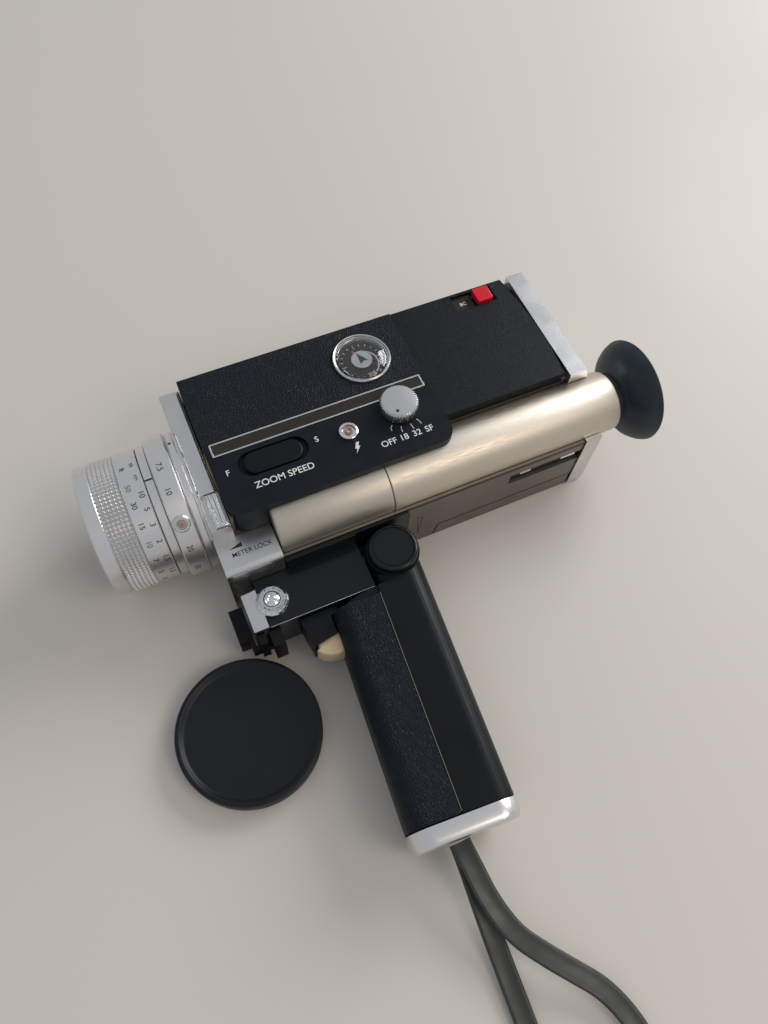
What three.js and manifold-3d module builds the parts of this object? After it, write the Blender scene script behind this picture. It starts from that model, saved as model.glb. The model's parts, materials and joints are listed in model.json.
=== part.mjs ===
// Super 8 cine camera with a folding pistol grip, lying on its right side.
// Millimetres. While it is built: +X runs from the lens to the eyepiece, +Y is the
// camera's own top, +Z goes up from the surface it lies on, so its left side faces up.
// The finished group is moved so that its origin is the middle of the bottom of its box.

import * as THREE from 'three';
import { mergeVertices } from 'three/addons/utils/BufferGeometryUtils.js';
import Module from 'manifold-3d';

const wasm = await Module();
wasm.setup();

// ---------------------------------------------------------------- driving dimensions

const GAP = 0.3;                 // between touching pieces
const WALL = 2.4;                // die-cast wall
const ROUND = 32;                // sides of a large round piece
const SMALL_ROUND = 16;          // sides of a small round piece

const BODY = { rear: 173.4, top: 43.3, bottom: -43.5, deck: 55.4, left: 60 };
const PANEL = { front: 9.4, rear: 111.7, bottom: -29.2, cornerRadius: 7, skirt: 44.3 };
const REAR_COVER = { bottom: -17, left: 59.2, skirt: 51.6 };
const FRONT_DECK = 54.6;         // left face of the front housing
const LOCK_BLOCK = { rear: 24.8, left: 44, lip: -45.3, edge: 3, aboveArm: 30.2 };
const REAR_PLATE = { front: 173.7, outer: 187, bowAcross: 0.006, bowUp: 0.0026, middle: 31 };

const LENS = { y: 0.9, z: 32.3, bore: 24.8, sleeveHole: 21.3 };
const LENS_X = { front: -44.5, knurl: -38, scale: -27.2, index: -17.2, zoom: -13.2, band: -4.4 };
const LENS_R = { front: 29, knurl: 29.6, scale: 29.4, zoom: 31.8, band: 31.1 };

const TUBE = { y: -28, z: 41.5, radius: 14.2, bore: 12.3, front: 25.4, joint: 77.4, rear: 191.5 };
const EYECUP = { neck: 10.6, rim: 24.5, rear: 207 };

const ARM = { front: 9.4, rear: 57.2, top: -43.5, bottom: -67.5, right: 6, left: 29.6 };
const BASE_PLATE = { front: 25.4, rear: 83, bottom: -45.8, thinBottom: -44.9, left: 38 };
const PIVOT = { x: 70.1, y: -56.4, boss: 11.8, pin: 4, knob: 11, knobTop: 36.5 };
const GRIP = {
  right: 3, left: 32.6, lean: 4.4, front: -33.2, rear: 11.2, seam: -11.4, top: -13, bottom: -109.6,
  cap: -117.6,
};
const CELL = { radius: 6.4, length: 50 };
const SOCKET = { x: 14.2, y: -57.2 };

const RUNNING_CLEARANCE = 0.96;      // a pinion is cut this much smaller than its mesh
const DRIVE_GEAR = { module: 0.72, shutterTeeth: 24, motorTeeth: 8 };
const TAKEUP_GEAR = { module: 4 / 3, wheelTeeth: 12, takeupTeeth: 30, rise: -5.8 };
const SHUTTER = { x: 90, y: 4.4, z: 42, radius: 13.3 };
const CHAMBER_ROOF = { low: 35.2, high: 37.2 };   // wall between the film and its drive
const ZOOM_GEAR = { module: 1.8, teeth: 24, pinionTeeth: 8, x0: 12.4, x1: 15.4 };

const DOOR = { frontOut: 99.2, frontIn: 101.2, depth: 9.6, rear: 172.9 };
const CAP = { x: -13.6, y: -98.6, radius: 30.8, height: 9 };
const STRAP = { width: 8.4, thickness: 1.7 };

// ---------------------------------------------------------------- colours

const paint = (color, roughness, metalness) => ({ color, roughness, metalness });
const SATIN_SILVER = paint(0xb9b6b1, 0.35, 0.9);
const CHAMPAGNE = paint(0xb3a896, 0.4, 0.85);
const GREY_METAL = paint(0x7d766c, 0.5, 0.7);
const CHROME = paint(0xd8d8d8, 0.15, 1);
const STEEL = paint(0x9c9c9c, 0.4, 0.9);
const BRASS = paint(0xb08d4a, 0.35, 0.9);
const BLACK_LEATHER = paint(0x16181b, 0.7, 0);
const BLACK_PAINT = paint(0x14171a, 0.4, 0.1);
const BLACK_PLASTIC = paint(0x121416, 0.5, 0);
const BLACK_RUBBER = paint(0x1b2229, 0.55, 0);
const VINYL = paint(0x262b2a, 0.5, 0);
const RED = paint(0xc3122a, 0.4, 0);
const CREAM = paint(0xd6c08c, 0.45, 0);
const GLASS = paint(0x8fa0b0, 0.05, 0);
const BOARD_GREEN = paint(0x2f5d3a, 0.6, 0);
const CELL_WRAP = paint(0x8d2f24, 0.4, 0.3);

// ---------------------------------------------------------------- solid helpers

function toSolid(geometry) {
  const bare = geometry.clone();
  bare.deleteAttribute('normal');
  bare.deleteAttribute('uv');
  const merged = mergeVertices(bare, 1e-4);
  const position = merged.attributes.position.array;
  let triangles = [];
  for (let i = 0; i < merged.index.count; i += 3) {
    const [a, b, c] = merged.index.array.slice(i, i + 3);
    if (a !== b && b !== c && c !== a) triangles.push([a, b, c]);
  }
  if (enclosedVolume(position, triangles) < 0) triangles = triangles.map(([a, b, c]) => [a, c, b]);
  return new wasm.Manifold(new wasm.Mesh({
    numProp: 3,
    vertProperties: new Float32Array(position),
    triVerts: new Uint32Array(triangles.flat()),
  }));
}

// six times the volume, negative when the faces point inwards
function enclosedVolume(position, triangles) {
  const corner = (i) => new THREE.Vector3().fromArray(position, 3 * i);
  return triangles.reduce(
    (sum, [a, b, c]) => sum + corner(a).dot(corner(b).cross(corner(c))), 0,
  );
}

function toGeometry(solid) {
  const mesh = solid.getMesh();
  const geometry = new THREE.BufferGeometry();
  geometry.setAttribute('position', new THREE.BufferAttribute(mesh.vertProperties, 3));
  geometry.setIndex(new THREE.BufferAttribute(mesh.triVerts, 1));
  geometry.computeVertexNormals();
  return geometry;
}

function cut(solid, ...tools) {
  return tools.reduce((left, tool) => left.subtract(tool), solid);
}

function join(...solids) {
  return solids.reduce((left, right) => left.add(right));
}

function box(x0, x1, y0, y1, z0, z1) {
  const geometry = new THREE.BoxGeometry(x1 - x0, y1 - y0, z1 - z0);
  geometry.translate((x0 + x1) / 2, (y0 + y1) / 2, (z0 + z1) / 2);
  return toSolid(geometry);
}

function roundedRect(x0, x1, y0, y1, radius) {
  const shape = new THREE.Shape();
  shape.moveTo(x0 + radius, y0);
  shape.lineTo(x1 - radius, y0);
  shape.absarc(x1 - radius, y0 + radius, radius, -Math.PI / 2, 0, false);
  shape.lineTo(x1, y1 - radius);
  shape.absarc(x1 - radius, y1 - radius, radius, 0, Math.PI / 2, false);
  shape.lineTo(x0 + radius, y1);
  shape.absarc(x0 + radius, y1 - radius, radius, Math.PI / 2, Math.PI, false);
  shape.lineTo(x0, y0 + radius);
  shape.absarc(x0 + radius, y0 + radius, radius, Math.PI, 1.5 * Math.PI, false);
  return shape;
}

function polygon(points) {
  return new THREE.Shape(points.map(([x, y]) => new THREE.Vector2(x, y)));
}

// a flat outline in X and Y, made thick from z0 to z1
function slab(shape, z0, z1, curveSegments = 6) {
  const geometry = new THREE.ExtrudeGeometry(shape, {
    depth: z1 - z0, bevelEnabled: false, curveSegments,
  });
  geometry.translate(0, 0, z0);
  return toSolid(geometry);
}

// an outline in X and Z, made thick from y0 to y1
function sideSlab(shape, y0, y1, curveSegments = 6) {
  const geometry = new THREE.ExtrudeGeometry(shape, {
    depth: y1 - y0, bevelEnabled: false, curveSegments,
  });
  geometry.rotateX(Math.PI / 2);
  geometry.translate(0, y1, 0);
  return toSolid(geometry);
}

// profile points are [place along the axis, radius]
// an outline of (y, z) points drawn out along x
function lengthSlab(points, x0, x1) {
  const outline = points.map(([y, z]) => [-z, y]);
  return slab(polygon(outline), x0, x1).rotate([0, 90, 0]);
}

function turned(profile, sides) {
  const points = profile.map(([along, radius]) => new THREE.Vector2(radius, along));
  return new THREE.LatheGeometry(points, sides);
}

function turnedX(profile, y, z, sides = ROUND) {
  const geometry = turned(profile, sides);
  geometry.rotateZ(-Math.PI / 2);
  geometry.translate(0, y, z);
  return toSolid(geometry);
}

function turnedZ(profile, x, y, sides = SMALL_ROUND) {
  const geometry = turned(profile, sides);
  geometry.rotateX(Math.PI / 2);
  geometry.translate(x, y, 0);
  return toSolid(geometry);
}

function discX(x0, x1, y, z, radius, sides = SMALL_ROUND) {
  return turnedX([[x0, 0], [x0, radius], [x1, radius], [x1, 0]], y, z, sides);
}

function discZ(z0, z1, x, y, radius, sides = SMALL_ROUND) {
  return turnedZ([[z0, 0], [z0, radius], [z1, radius], [z1, 0]], x, y, sides);
}

function ringX(x0, x1, y, z, outer, inner, sides = ROUND) {
  const profile = [[x0, inner], [x0, outer], [x1, outer], [x1, inner], [x0, inner]];
  return turnedX(profile, y, z, sides);
}

// a spur gear in X and Y with short, narrow teeth that leave running clearance
function gearShape(teeth, module, toothPhase) {
  const pitch = (teeth * module) / 2;
  const tip = pitch + 0.5 * module;
  const root = pitch - 0.8 * module;
  const step = (2 * Math.PI) / teeth;
  const points = [];
  for (let i = 0; i < teeth; i += 1) {
    const middle = (i + toothPhase) * step;
    for (const [radius, offset] of [[root, -0.25], [tip, -0.13], [tip, 0.13], [root, 0.25]]) {
      const angle = middle + offset * step;
      points.push([radius * Math.cos(angle), radius * Math.sin(angle)]);
    }
  }
  return polygon(points);
}

function gearGeometry(teeth, module, toothPhase, width) {
  return new THREE.ExtrudeGeometry(gearShape(teeth, module, toothPhase), {
    depth: width, bevelEnabled: false,
  });
}

// the tooth phase that puts a gap opposite the gear's plane angle 0
function facingGap(teeth) {
  return teeth / 2 + 0.5;
}

// the gear's plane angle 0 points to +Y and its quarter turn to +Z
function gearX(teeth, module, toothPhase, x0, x1, y, z) {
  const geometry = gearGeometry(teeth, module, toothPhase, x1 - x0);
  geometry.rotateZ(Math.PI / 2);
  geometry.rotateY(Math.PI / 2);
  geometry.translate(x0, y, z);
  return toSolid(geometry);
}

function gearZ(teeth, module, toothPhase, z0, z1, x, y) {
  const geometry = gearGeometry(teeth, module, toothPhase, z1 - z0);
  geometry.translate(x, y, z0);
  return toSolid(geometry);
}

const camera = new THREE.Group();

function addNode(name, solid, look) {
  const material = new THREE.MeshStandardMaterial(look);
  const mesh = new THREE.Mesh(toGeometry(solid), material);
  mesh.name = name;
  camera.add(mesh);
  return mesh;
}

// ---------------------------------------------------------------- body castings

function tubeSeat(extra) {
  return discX(TUBE.front - 0.3, TUBE.rear, TUBE.y, TUBE.z, TUBE.radius + extra, ROUND);
}

function addFrontHousing() {
  const face = sideSlab(roundedRect(0, PANEL.front - GAP, 1.2, FRONT_DECK, 1.8),
    PANEL.bottom - GAP, 42.6);
  const { rear, left, lip, edge, aboveArm } = LOCK_BLOCK;
  const roundedEdge = [];
  for (let i = 0; i <= 6; i += 1) {
    const turn = (i * Math.PI) / 12;
    roundedEdge.push([lip + edge - edge * Math.cos(turn), left - edge + edge * Math.sin(turn)]);
  }
  const block = join(
    box(0, rear, BODY.bottom, PANEL.bottom, 1.2, aboveArm + 1),
    box(0, PANEL.front - GAP, lip, PANEL.bottom, 1.2, aboveArm + 1),
    lengthSlab([[lip, aboveArm], ...roundedEdge, [PANEL.bottom, left], [PANEL.bottom, aboveArm]],
      0, rear),
  );
  const barrelHole = discX(LENS_X.zoom, GAP, LENS.y, LENS.z, LENS.bore + GAP, ROUND);
  const sleeveHole = discX(-1, 30, LENS.y, LENS.z, LENS.sleeveHole, ROUND);
  const blockHollow = box(11.8, 30, -41.2, -32, 3.8, 41);
  const ribSlot = box(1, 8.9, -29.2, -11.6, FRONT_DECK - 2, FRONT_DECK + 1);
  const flange = discX(LENS_X.band + GAP, GAP, LENS.y, LENS.z, LENS_R.band - 0.5, ROUND);
  const housing = cut(join(face, block, flange), barrelHole, sleeveHole, blockHollow,
    ribSlot);
  addNode('front_housing', housing, SATIN_SILVER);
}

function addBodyShell() {
  const { rear, top, bottom, deck } = BODY;
  const front = PANEL.front;
  const upper = box(front, rear, PANEL.bottom, top, 0, deck - GAP);
  const lower = box(LOCK_BLOCK.rear + GAP, rear, bottom, PANEL.bottom + 1, 0, 38.6);
  const outer = cut(join(upper, lower), tubeSeat(GAP));
  const doorSpace = sideSlab(
    polygon([[98, -1], [100.6, DOOR.depth + GAP], [rear + 1, DOOR.depth + GAP], [rear + 1, -1]]),
    bottom - 1, top + 1,
  );
  const seatSkin = tubeSeat(GAP + 1.8);
  const works = cut(
    box(front + WALL, 96, bottom + 3.4, top - WALL, 3.4, deck + 1),
    seatSkin,
    box(front, LOCK_BLOCK.rear + GAP + WALL, bottom, PANEL.bottom + 2.4 * WALL, 0, deck),
  );
  const rearWorks = cut(box(98, rear - WALL, bottom + 3.4, top - WALL, CHAMBER_ROOF.high, deck + 1), seatSkin);
  const chamber = cut(
    box(98, rear - WALL, bottom + 3.4, top - WALL, DOOR.depth - 1, CHAMBER_ROOF.low),
    seatSkin,
  );
  const gateWindow = box(95, 99, LENS.y - 9.4, LENS.y + 9.4, LENS.z - 8.4, 38);
  const wheelNotch = join(
    box(95, 99, 0, 27, 38.6, deck + 1),
    box(95, 99, KNOB.y - 3.2, KNOB.y + 3.2, 51, deck + 1),
  );
  const spindleHole = discZ(CHAMBER_ROOF.low - 1, CHAMBER_ROOF.high + 1, SPINDLE.x, SPINDLE.y, 5);
  const lensHole = discX(8, 15, LENS.y, LENS.z, LENS.sleeveHole, ROUND);
  const underSlot = box(135.5, 177, bottom - 1, bottom + 2, 24.4, 32);
  const skirtRelief = box(front - 1, LOCK_BLOCK.rear + 0.1, bottom, PANEL.bottom + 3.3,
    PANEL.skirt - GAP, deck + 1);
  const openOverTube = box(PANEL.rear + GAP, rear + 1, PANEL.bottom - 1, REAR_COVER.bottom - GAP, 46,
    deck + 1);
  const coverBed = slab(roundedRect(12 - GAP, 95 + GAP, -27 - GAP, 40 + GAP, 3.2), -1, 1.4, 4);
  const shell = cut(outer, doorSpace, works, rearWorks, chamber, gateWindow, wheelNotch,
    spindleHole, lensHole, underSlot, coverBed, skirtRelief, openOverTube);
  addNode('body_shell', shell, GREY_METAL);
}

function addRightCover() {
  const cover = slab(roundedRect(12, 95, -27, 40, 3), 0, 1.1, 4);
  addNode('right_cover', cover, BLACK_LEATHER);
}

function addLeftFrontPanel() {
  const { front, rear, bottom, cornerRadius: r } = PANEL;
  const top = BODY.top;
  const outline = new THREE.Shape();
  outline.moveTo(front + r, bottom);
  outline.lineTo(rear - r, bottom);
  outline.absarc(rear - r, bottom + r, r, -Math.PI / 2, 0, false);
  outline.lineTo(rear, top);
  outline.lineTo(front, top);
  outline.lineTo(front, bottom + r);
  outline.absarc(front + r, bottom + r, r, Math.PI, 1.5 * Math.PI, false);
  const plate = slab(outline, 56, BODY.left);
  const seat = cut(plate,
    discZ(57, 61, COUNTER.x, COUNTER.y, COUNTER.radius + GAP, ROUND),
    discZ(50, 61, COUNTER.x, COUNTER.y, 3),
    discZ(50, 61, KNOB.x, KNOB.y, 3.2),
    discZ(50, 61, JACK.x, JACK.y, 3.4),
    slab(roundedRect(SLIDER.x - 15.5, SLIDER.x + 15.5, SLIDER.y - 6, SLIDER.y + 6, 5.9), 58, 61),
    slab(roundedRect(11.6, 110, 0, 7.2, 0.4), 59.2, 61));
  const cornerOutline = new THREE.Shape();
  cornerOutline.moveTo(front + r, bottom);
  cornerOutline.lineTo(LOCK_BLOCK.rear - GAP, bottom);
  cornerOutline.lineTo(LOCK_BLOCK.rear - GAP, bottom + 2 * r);
  cornerOutline.lineTo(front, bottom + 2 * r);
  cornerOutline.lineTo(front, bottom + r);
  cornerOutline.absarc(front + r, bottom + r, r, Math.PI, 1.5 * Math.PI, false);
  const corner = slab(cornerOutline, PANEL.skirt, 57);
  const behindSkirt = box(0, 30, bottom + 3, 0, PANEL.skirt - 1, BODY.deck + GAP);
  addNode('left_front_panel', join(seat, cut(corner, behindSkirt)), BLACK_LEATHER);
}

function addLeftRearCover() {
  const front = PANEL.rear + GAP;
  const outline = new THREE.Shape();
  outline.moveTo(front, REAR_COVER.bottom);
  outline.lineTo(171.6, REAR_COVER.bottom);
  outline.quadraticCurveTo(175.6, 10, 170, BODY.top);
  outline.lineTo(front, BODY.top);
  const plate = slab(outline, 56, REAR_COVER.left, 10);
  const skirt = box(front, 171, REAR_COVER.bottom, REAR_COVER.bottom + 1.6, REAR_COVER.skirt + 2.2,
    56.5);
  const buttonHole = box(142.5, 163.4, 33, 42, 57.4, 61);
  const buttonWell = box(153, 161.8, 33.2, 41.8, 55, 61);
  addNode('left_rear_cover', cut(join(plate, skirt), buttonHole, buttonWell), BLACK_PAINT);
}

function addRearPlate() {
  const { front, outer, bowAcross, bowUp, middle } = REAR_PLATE;
  const across = new THREE.Shape();
  across.moveTo(front, 0.4);
  across.lineTo(front, REAR_COVER.left);
  for (let i = 0; i <= 10; i += 1) {
    const z = REAR_COVER.left - (i * (REAR_COVER.left - 0.4)) / 10;
    across.lineTo(outer - bowAcross * (z - middle) ** 2, z);
  }
  const upright = new THREE.Shape();
  upright.moveTo(front - 2, -44.3);
  for (let i = 0; i <= 10; i += 1) {
    const y = -44.3 + (i * 88) / 10;
    upright.lineTo(outer - bowUp * y ** 2, y);
  }
  upright.lineTo(front - 2, 43.7);
  const plate = sideSlab(across, -44.3, 43.7).intersect(slab(upright, 0, REAR_COVER.left));
  const pocket = box(front - 1, 178.5, -38, 38, 6, 54);
  const block = slab(roundedRect(168, 182, REAR_COVER.bottom + 4, 38, 2), 54.5, 57);
  const beyondTube = box(front - 3, outer + 3, -46, REAR_COVER.bottom - 2.4, TUBE.z - 2, 62);
  const hollowed = cut(plate, tubeSeat(GAP), cut(pocket, tubeSeat(3)), block, beyondTube);
  addNode('rear_plate', hollowed, SATIN_SILVER);
}

// ---------------------------------------------------------------- film door

function addFilmDoor() {
  const tray = sideSlab(
    polygon([[DOOR.frontOut, 0], [DOOR.frontIn, DOOR.depth], [DOOR.rear, DOOR.depth], [DOOR.rear, 0]]),
    BODY.bottom, BODY.top,
  );
  const pocket = box(104, DOOR.rear - WALL, BODY.bottom + 3, BODY.top - 3, 2, 12);
  const hingeBore = box(98, 103, -32, -24, -1, 3.4);
  const latchSeat = box(158, 168, -5.6, 5.6, -1, 1.6);
  addNode('film_door', cut(tray, pocket, hingeBore, latchSeat), GREY_METAL);
  addNode('door_latch', slab(roundedRect(160, 166.5, -5, 5, 1), 0.3, 1.3), BLACK_PLASTIC);
}

// ---------------------------------------------------------------- lens

function addLens() {
  const { y, z } = LENS;
  const focus = [
    [LENS_X.front, 26], [LENS_X.front, LENS_R.front - 0.7], [LENS_X.front + 0.7, LENS_R.front],
    [LENS_X.knurl, LENS_R.front], [LENS_X.knurl, LENS_R.knurl], [LENS_X.scale, LENS_R.knurl],
    [LENS_X.scale, LENS_R.scale], [LENS_X.index - GAP, LENS_R.scale],
    [LENS_X.index - GAP, LENS.bore], [-36, LENS.bore], [-36, 26], [LENS_X.front, 26],
  ];
  addNode('focus_ring', turnedX(focus, y, z, ROUND), SATIN_SILVER);
  const element = [[-41.5, 0], [-41, 10], [-39.6, 21], [-39.6, 25.7], [-36.4, 25.7], [-36.4, 0]];
  addNode('front_element', turnedX(element, y, z, ROUND), GLASS);

  const barrel = [
    [-33, 22.4], [-33, LENS.bore - GAP], [LENS_X.index, LENS.bore - GAP],
    [LENS_X.index, LENS_R.scale], [LENS_X.zoom - GAP, LENS_R.scale],
    [LENS_X.zoom - GAP, LENS.bore - GAP], [0, LENS.bore - GAP], [0, 22.4], [-33, 22.4],
  ];
  addNode('lens_barrel', turnedX(barrel, y, z, ROUND), SATIN_SILVER);

  const bossAngle = (43.7 * Math.PI) / 180;
  const boss = turned([[LENS_R.zoom - 2, 0], [LENS_R.zoom - 2, 3.7], [LENS_R.zoom + 0.6, 3.7],
    [LENS_R.zoom + 1.1, 3.2], [LENS_R.zoom + 1.1, 0]], SMALL_ROUND);
  boss.rotateX(Math.PI / 2 + bossAngle);
  boss.translate(-9.2, y, z);
  const zoomRing = ringX(LENS_X.zoom, LENS_X.band, y, z, LENS_R.zoom, LENS.bore);
  addNode('zoom_ring', join(zoomRing, toSolid(boss)), SATIN_SILVER);

  const sleeve = ringX(-31, ZOOM_GEAR.x0 + 1, y, z, 20.9, 19.2);
  const gear = cut(gearX(ZOOM_GEAR.teeth, ZOOM_GEAR.module, 0, ZOOM_GEAR.x0, ZOOM_GEAR.x1, y, z),
    discX(0, 20, y, z, 19.2, ROUND));
  addNode('zoom_cam_sleeve', join(sleeve, gear), BRASS);

  const variator = [[-24, 0], [-23, 12], [-22, 18.8], [-17, 18.8], [-17, 12], [-18.2, 0]];
  addNode('variator_lens', turnedX(variator, y, z, ROUND), GLASS);
  const relay = [[20, 0], [20.6, 6], [21.6, 10.4], [27, 10.4], [27.4, 6], [28, 0]];
  addNode('relay_lens', turnedX(relay, y, z, SMALL_ROUND), GLASS);
  addNode('iris_ring', ringX(30, 33, y, z, 12.6, 4, SMALL_ROUND), STEEL);
  addNode('beam_splitter', box(35, 47, y - 6, y + 6, z - 6, z + 6), GLASS);
}

function addZoomDrive() {
  const distance = (ZOOM_GEAR.module * (ZOOM_GEAR.teeth + ZOOM_GEAR.pinionTeeth)) / 2;
  const y = LENS.y + distance;
  const { x0, x1, pinionTeeth, module } = ZOOM_GEAR;
  const shaft = discX(x0, 18.6, y, LENS.z, 1.2);
  const pinion = gearX(pinionTeeth, module * RUNNING_CLEARANCE, facingGap(pinionTeeth), x0, x1, y, LENS.z);
  addNode('zoom_pinion', join(pinion, shaft), BRASS);
  addNode('zoom_motor', discX(19, 41.5, y + 0.4, LENS.z, 8.6), STEEL);
}

// ---------------------------------------------------------------- film drive

const shutterPitch = (DRIVE_GEAR.module * DRIVE_GEAR.shutterTeeth) / 2;
const motorPitch = (DRIVE_GEAR.module * DRIVE_GEAR.motorTeeth) / 2;
const wheelPitch = (TAKEUP_GEAR.module * TAKEUP_GEAR.wheelTeeth) / 2;
const takeupPitch = (TAKEUP_GEAR.module * TAKEUP_GEAR.takeupTeeth) / 2;
const MOTOR = { y: SHUTTER.y + shutterPitch + motorPitch, z: SHUTTER.z, radius: 8.6 };
const WORM = { x: 104, radius: 2.6 };
const WHEEL = { x: WORM.x, y: SHUTTER.y + WORM.radius + wheelPitch + 0.8 };
const takeupAngle = Math.asin(TAKEUP_GEAR.rise / (wheelPitch + takeupPitch));
const SPINDLE = {
  x: WHEEL.x + (wheelPitch + takeupPitch) * Math.cos(takeupAngle),
  y: WHEEL.y + TAKEUP_GEAR.rise,
};

function addFilmDrive() {
  const { x, y, z, radius } = SHUTTER;
  const blade = new THREE.Shape();
  blade.moveTo(0, 0);
  blade.absarc(0, 0, radius, 0.5, 4.2, false);
  blade.lineTo(0, 0);
  const fan = new THREE.ExtrudeGeometry(blade, { depth: 0.8, bevelEnabled: false, curveSegments: 14 });
  fan.rotateY(Math.PI / 2);
  fan.translate(x, y, z);
  const worm = [[99, 1.5]];
  for (let i = 0; i < 3; i += 1) {
    const start = 100.4 + i * 3.1;
    worm.push([start, 1.7], [start + 0.8, WORM.radius], [start + 1.6, WORM.radius], [start + 2.4, 1.7]);
  }
  const thread = [[99, 0], ...worm, [109.6, 1.5], [109.6, 0]];
  const shaft = discX(82, 99.5, y, z, 1.5);
  const hub = discX(x - 1, x + 1.6, y, z, 3.2);
  const gear = gearX(DRIVE_GEAR.shutterTeeth, DRIVE_GEAR.module, 0, 84, 87, y, z);
  addNode('shutter_disc', join(shaft, hub, toSolid(fan), gear, turnedX(thread, y, z, 12)), STEEL);

  addNode('drive_motor', discX(42, 80, MOTOR.y, MOTOR.z, MOTOR.radius), STEEL);
  const { module: fine, motorTeeth } = DRIVE_GEAR;
  const pinion = gearX(motorTeeth, fine * RUNNING_CLEARANCE, facingGap(motorTeeth), 83.6, 87.4,
    MOTOR.y, MOTOR.z);
  addNode('motor_pinion', join(pinion, discX(80.4, 84, MOTOR.y, MOTOR.z, 1.2)), BRASS);

  const { module, wheelTeeth, takeupTeeth } = TAKEUP_GEAR;
  const turnShare = takeupAngle / (2 * Math.PI);
  const wheel = gearZ(wheelTeeth, module, turnShare * wheelTeeth, z - 1.6, z + 1.6, WHEEL.x, WHEEL.y);
  addNode('worm_wheel', join(wheel, discZ(z - 3.2, z + 3, WHEEL.x, WHEEL.y, 2)), BRASS);
  const phase = (turnShare + 0.5) * takeupTeeth - 0.5;
  const takeup = gearZ(takeupTeeth, module, phase, z - 1.2, z + 1.2, SPINDLE.x, SPINDLE.y);
  const dogEnd = CHAMBER_ROOF.low - 3.3;
  const spindle = discZ(dogEnd, z, SPINDLE.x, SPINDLE.y, 2.6);
  const dog = box(SPINDLE.x - 4.4, SPINDLE.x + 4.4, SPINDLE.y - 1, SPINDLE.y + 1, dogEnd, dogEnd + 2.6);
  addNode('takeup_spindle', join(takeup, spindle, dog), STEEL);

  const gate = cut(
    box(96.3, 98.6, LENS.y - 9, LENS.y + 9, LENS.z - 8, 37.6),
    box(95, 100, LENS.y - 2.1, LENS.y + 2.1, LENS.z - 2.9, LENS.z + 2.9),
    box(95, 100, LENS.y - 7.6, LENS.y - 2.6, LENS.z - 6.2, LENS.z - 4.2),
  );
  addNode('film_gate', gate, STEEL);
  addNode('film_claw', box(93.4, 98.9, LENS.y - 3.4, LENS.y - 2.9, LENS.z - 5.8, LENS.z - 4.6), STEEL);
}

function addElectrics() {
  addNode('circuit_board', box(48, 79, -10.6, 6.4, 42.6, 44.2), BOARD_GREEN);
  addNode('meter_movement', discX(50, 62, -2, LENS.z, 5.4), BLACK_PLASTIC);
  addNode('meter_needle', box(62.4, 63, -3, 12, LENS.z - 0.5, LENS.z + 0.5), STEEL);
  addNode('trigger_switch', box(39.6, 45.1, -87, -78, 13.6, 22), BLACK_PLASTIC);
}

// ---------------------------------------------------------------- viewfinder

function addFinder() {
  const { y, z, radius, bore, front, joint, rear } = TUBE;
  const nose = [[front, 0], [front, radius - 0.3], [front + 0.3, radius], [joint - GAP, radius],
    [joint - GAP, bore], [front + 2, bore], [front + 2, 0]];
  addNode('finder_nose', turnedX(nose, y, z, ROUND), CHAMPAGNE);
  const main = [[joint, bore], [joint, radius], [rear - 0.6, radius], [rear, radius - 0.6],
    [rear, bore], [joint, bore]];
  addNode('finder_tube', turnedX(main, y, z, ROUND), CHAMPAGNE);
  const holder = [[176, 9.4], [176, 12], [191.7, 12], [191.7, EYECUP.neck - GAP],
    [196, EYECUP.neck - GAP], [196, 9.4], [176, 9.4]];
  addNode('eyepiece_ring', turnedX(holder, y, z, SMALL_ROUND), BLACK_PLASTIC);
  const lens = [[186, 0], [186.6, 6], [187.6, 9.1], [192, 9.1], [192.6, 5], [193, 0]];
  addNode('eyepiece_lens', turnedX(lens, y, z, SMALL_ROUND), GLASS);
  const cup = [
    [192, EYECUP.neck], [192, 12.4], [195.4, 12], [198, 17.4], [202, 22.6],
    [EYECUP.rear, EYECUP.rim], [EYECUP.rear, EYECUP.rim - 1.4], [202.4, 21.2], [198.6, 16.6],
    [196.3, EYECUP.neck], [192, EYECUP.neck],
  ];
  addNode('eyecup', turnedX(cup, y, z, ROUND), BLACK_RUBBER);
}

// ---------------------------------------------------------------- controls on the left side

const COUNTER = { x: 89.6, y: 24.4, radius: 13.4 };
const KNOB = { x: 94, y: -6.2, radius: 8.4 };
const JACK = { x: 69, y: -9.5 };
const SLIDER = { x: 35.5, y: -8.1 };
const BC = { x: 157.4, y: 37.6 };

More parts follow.
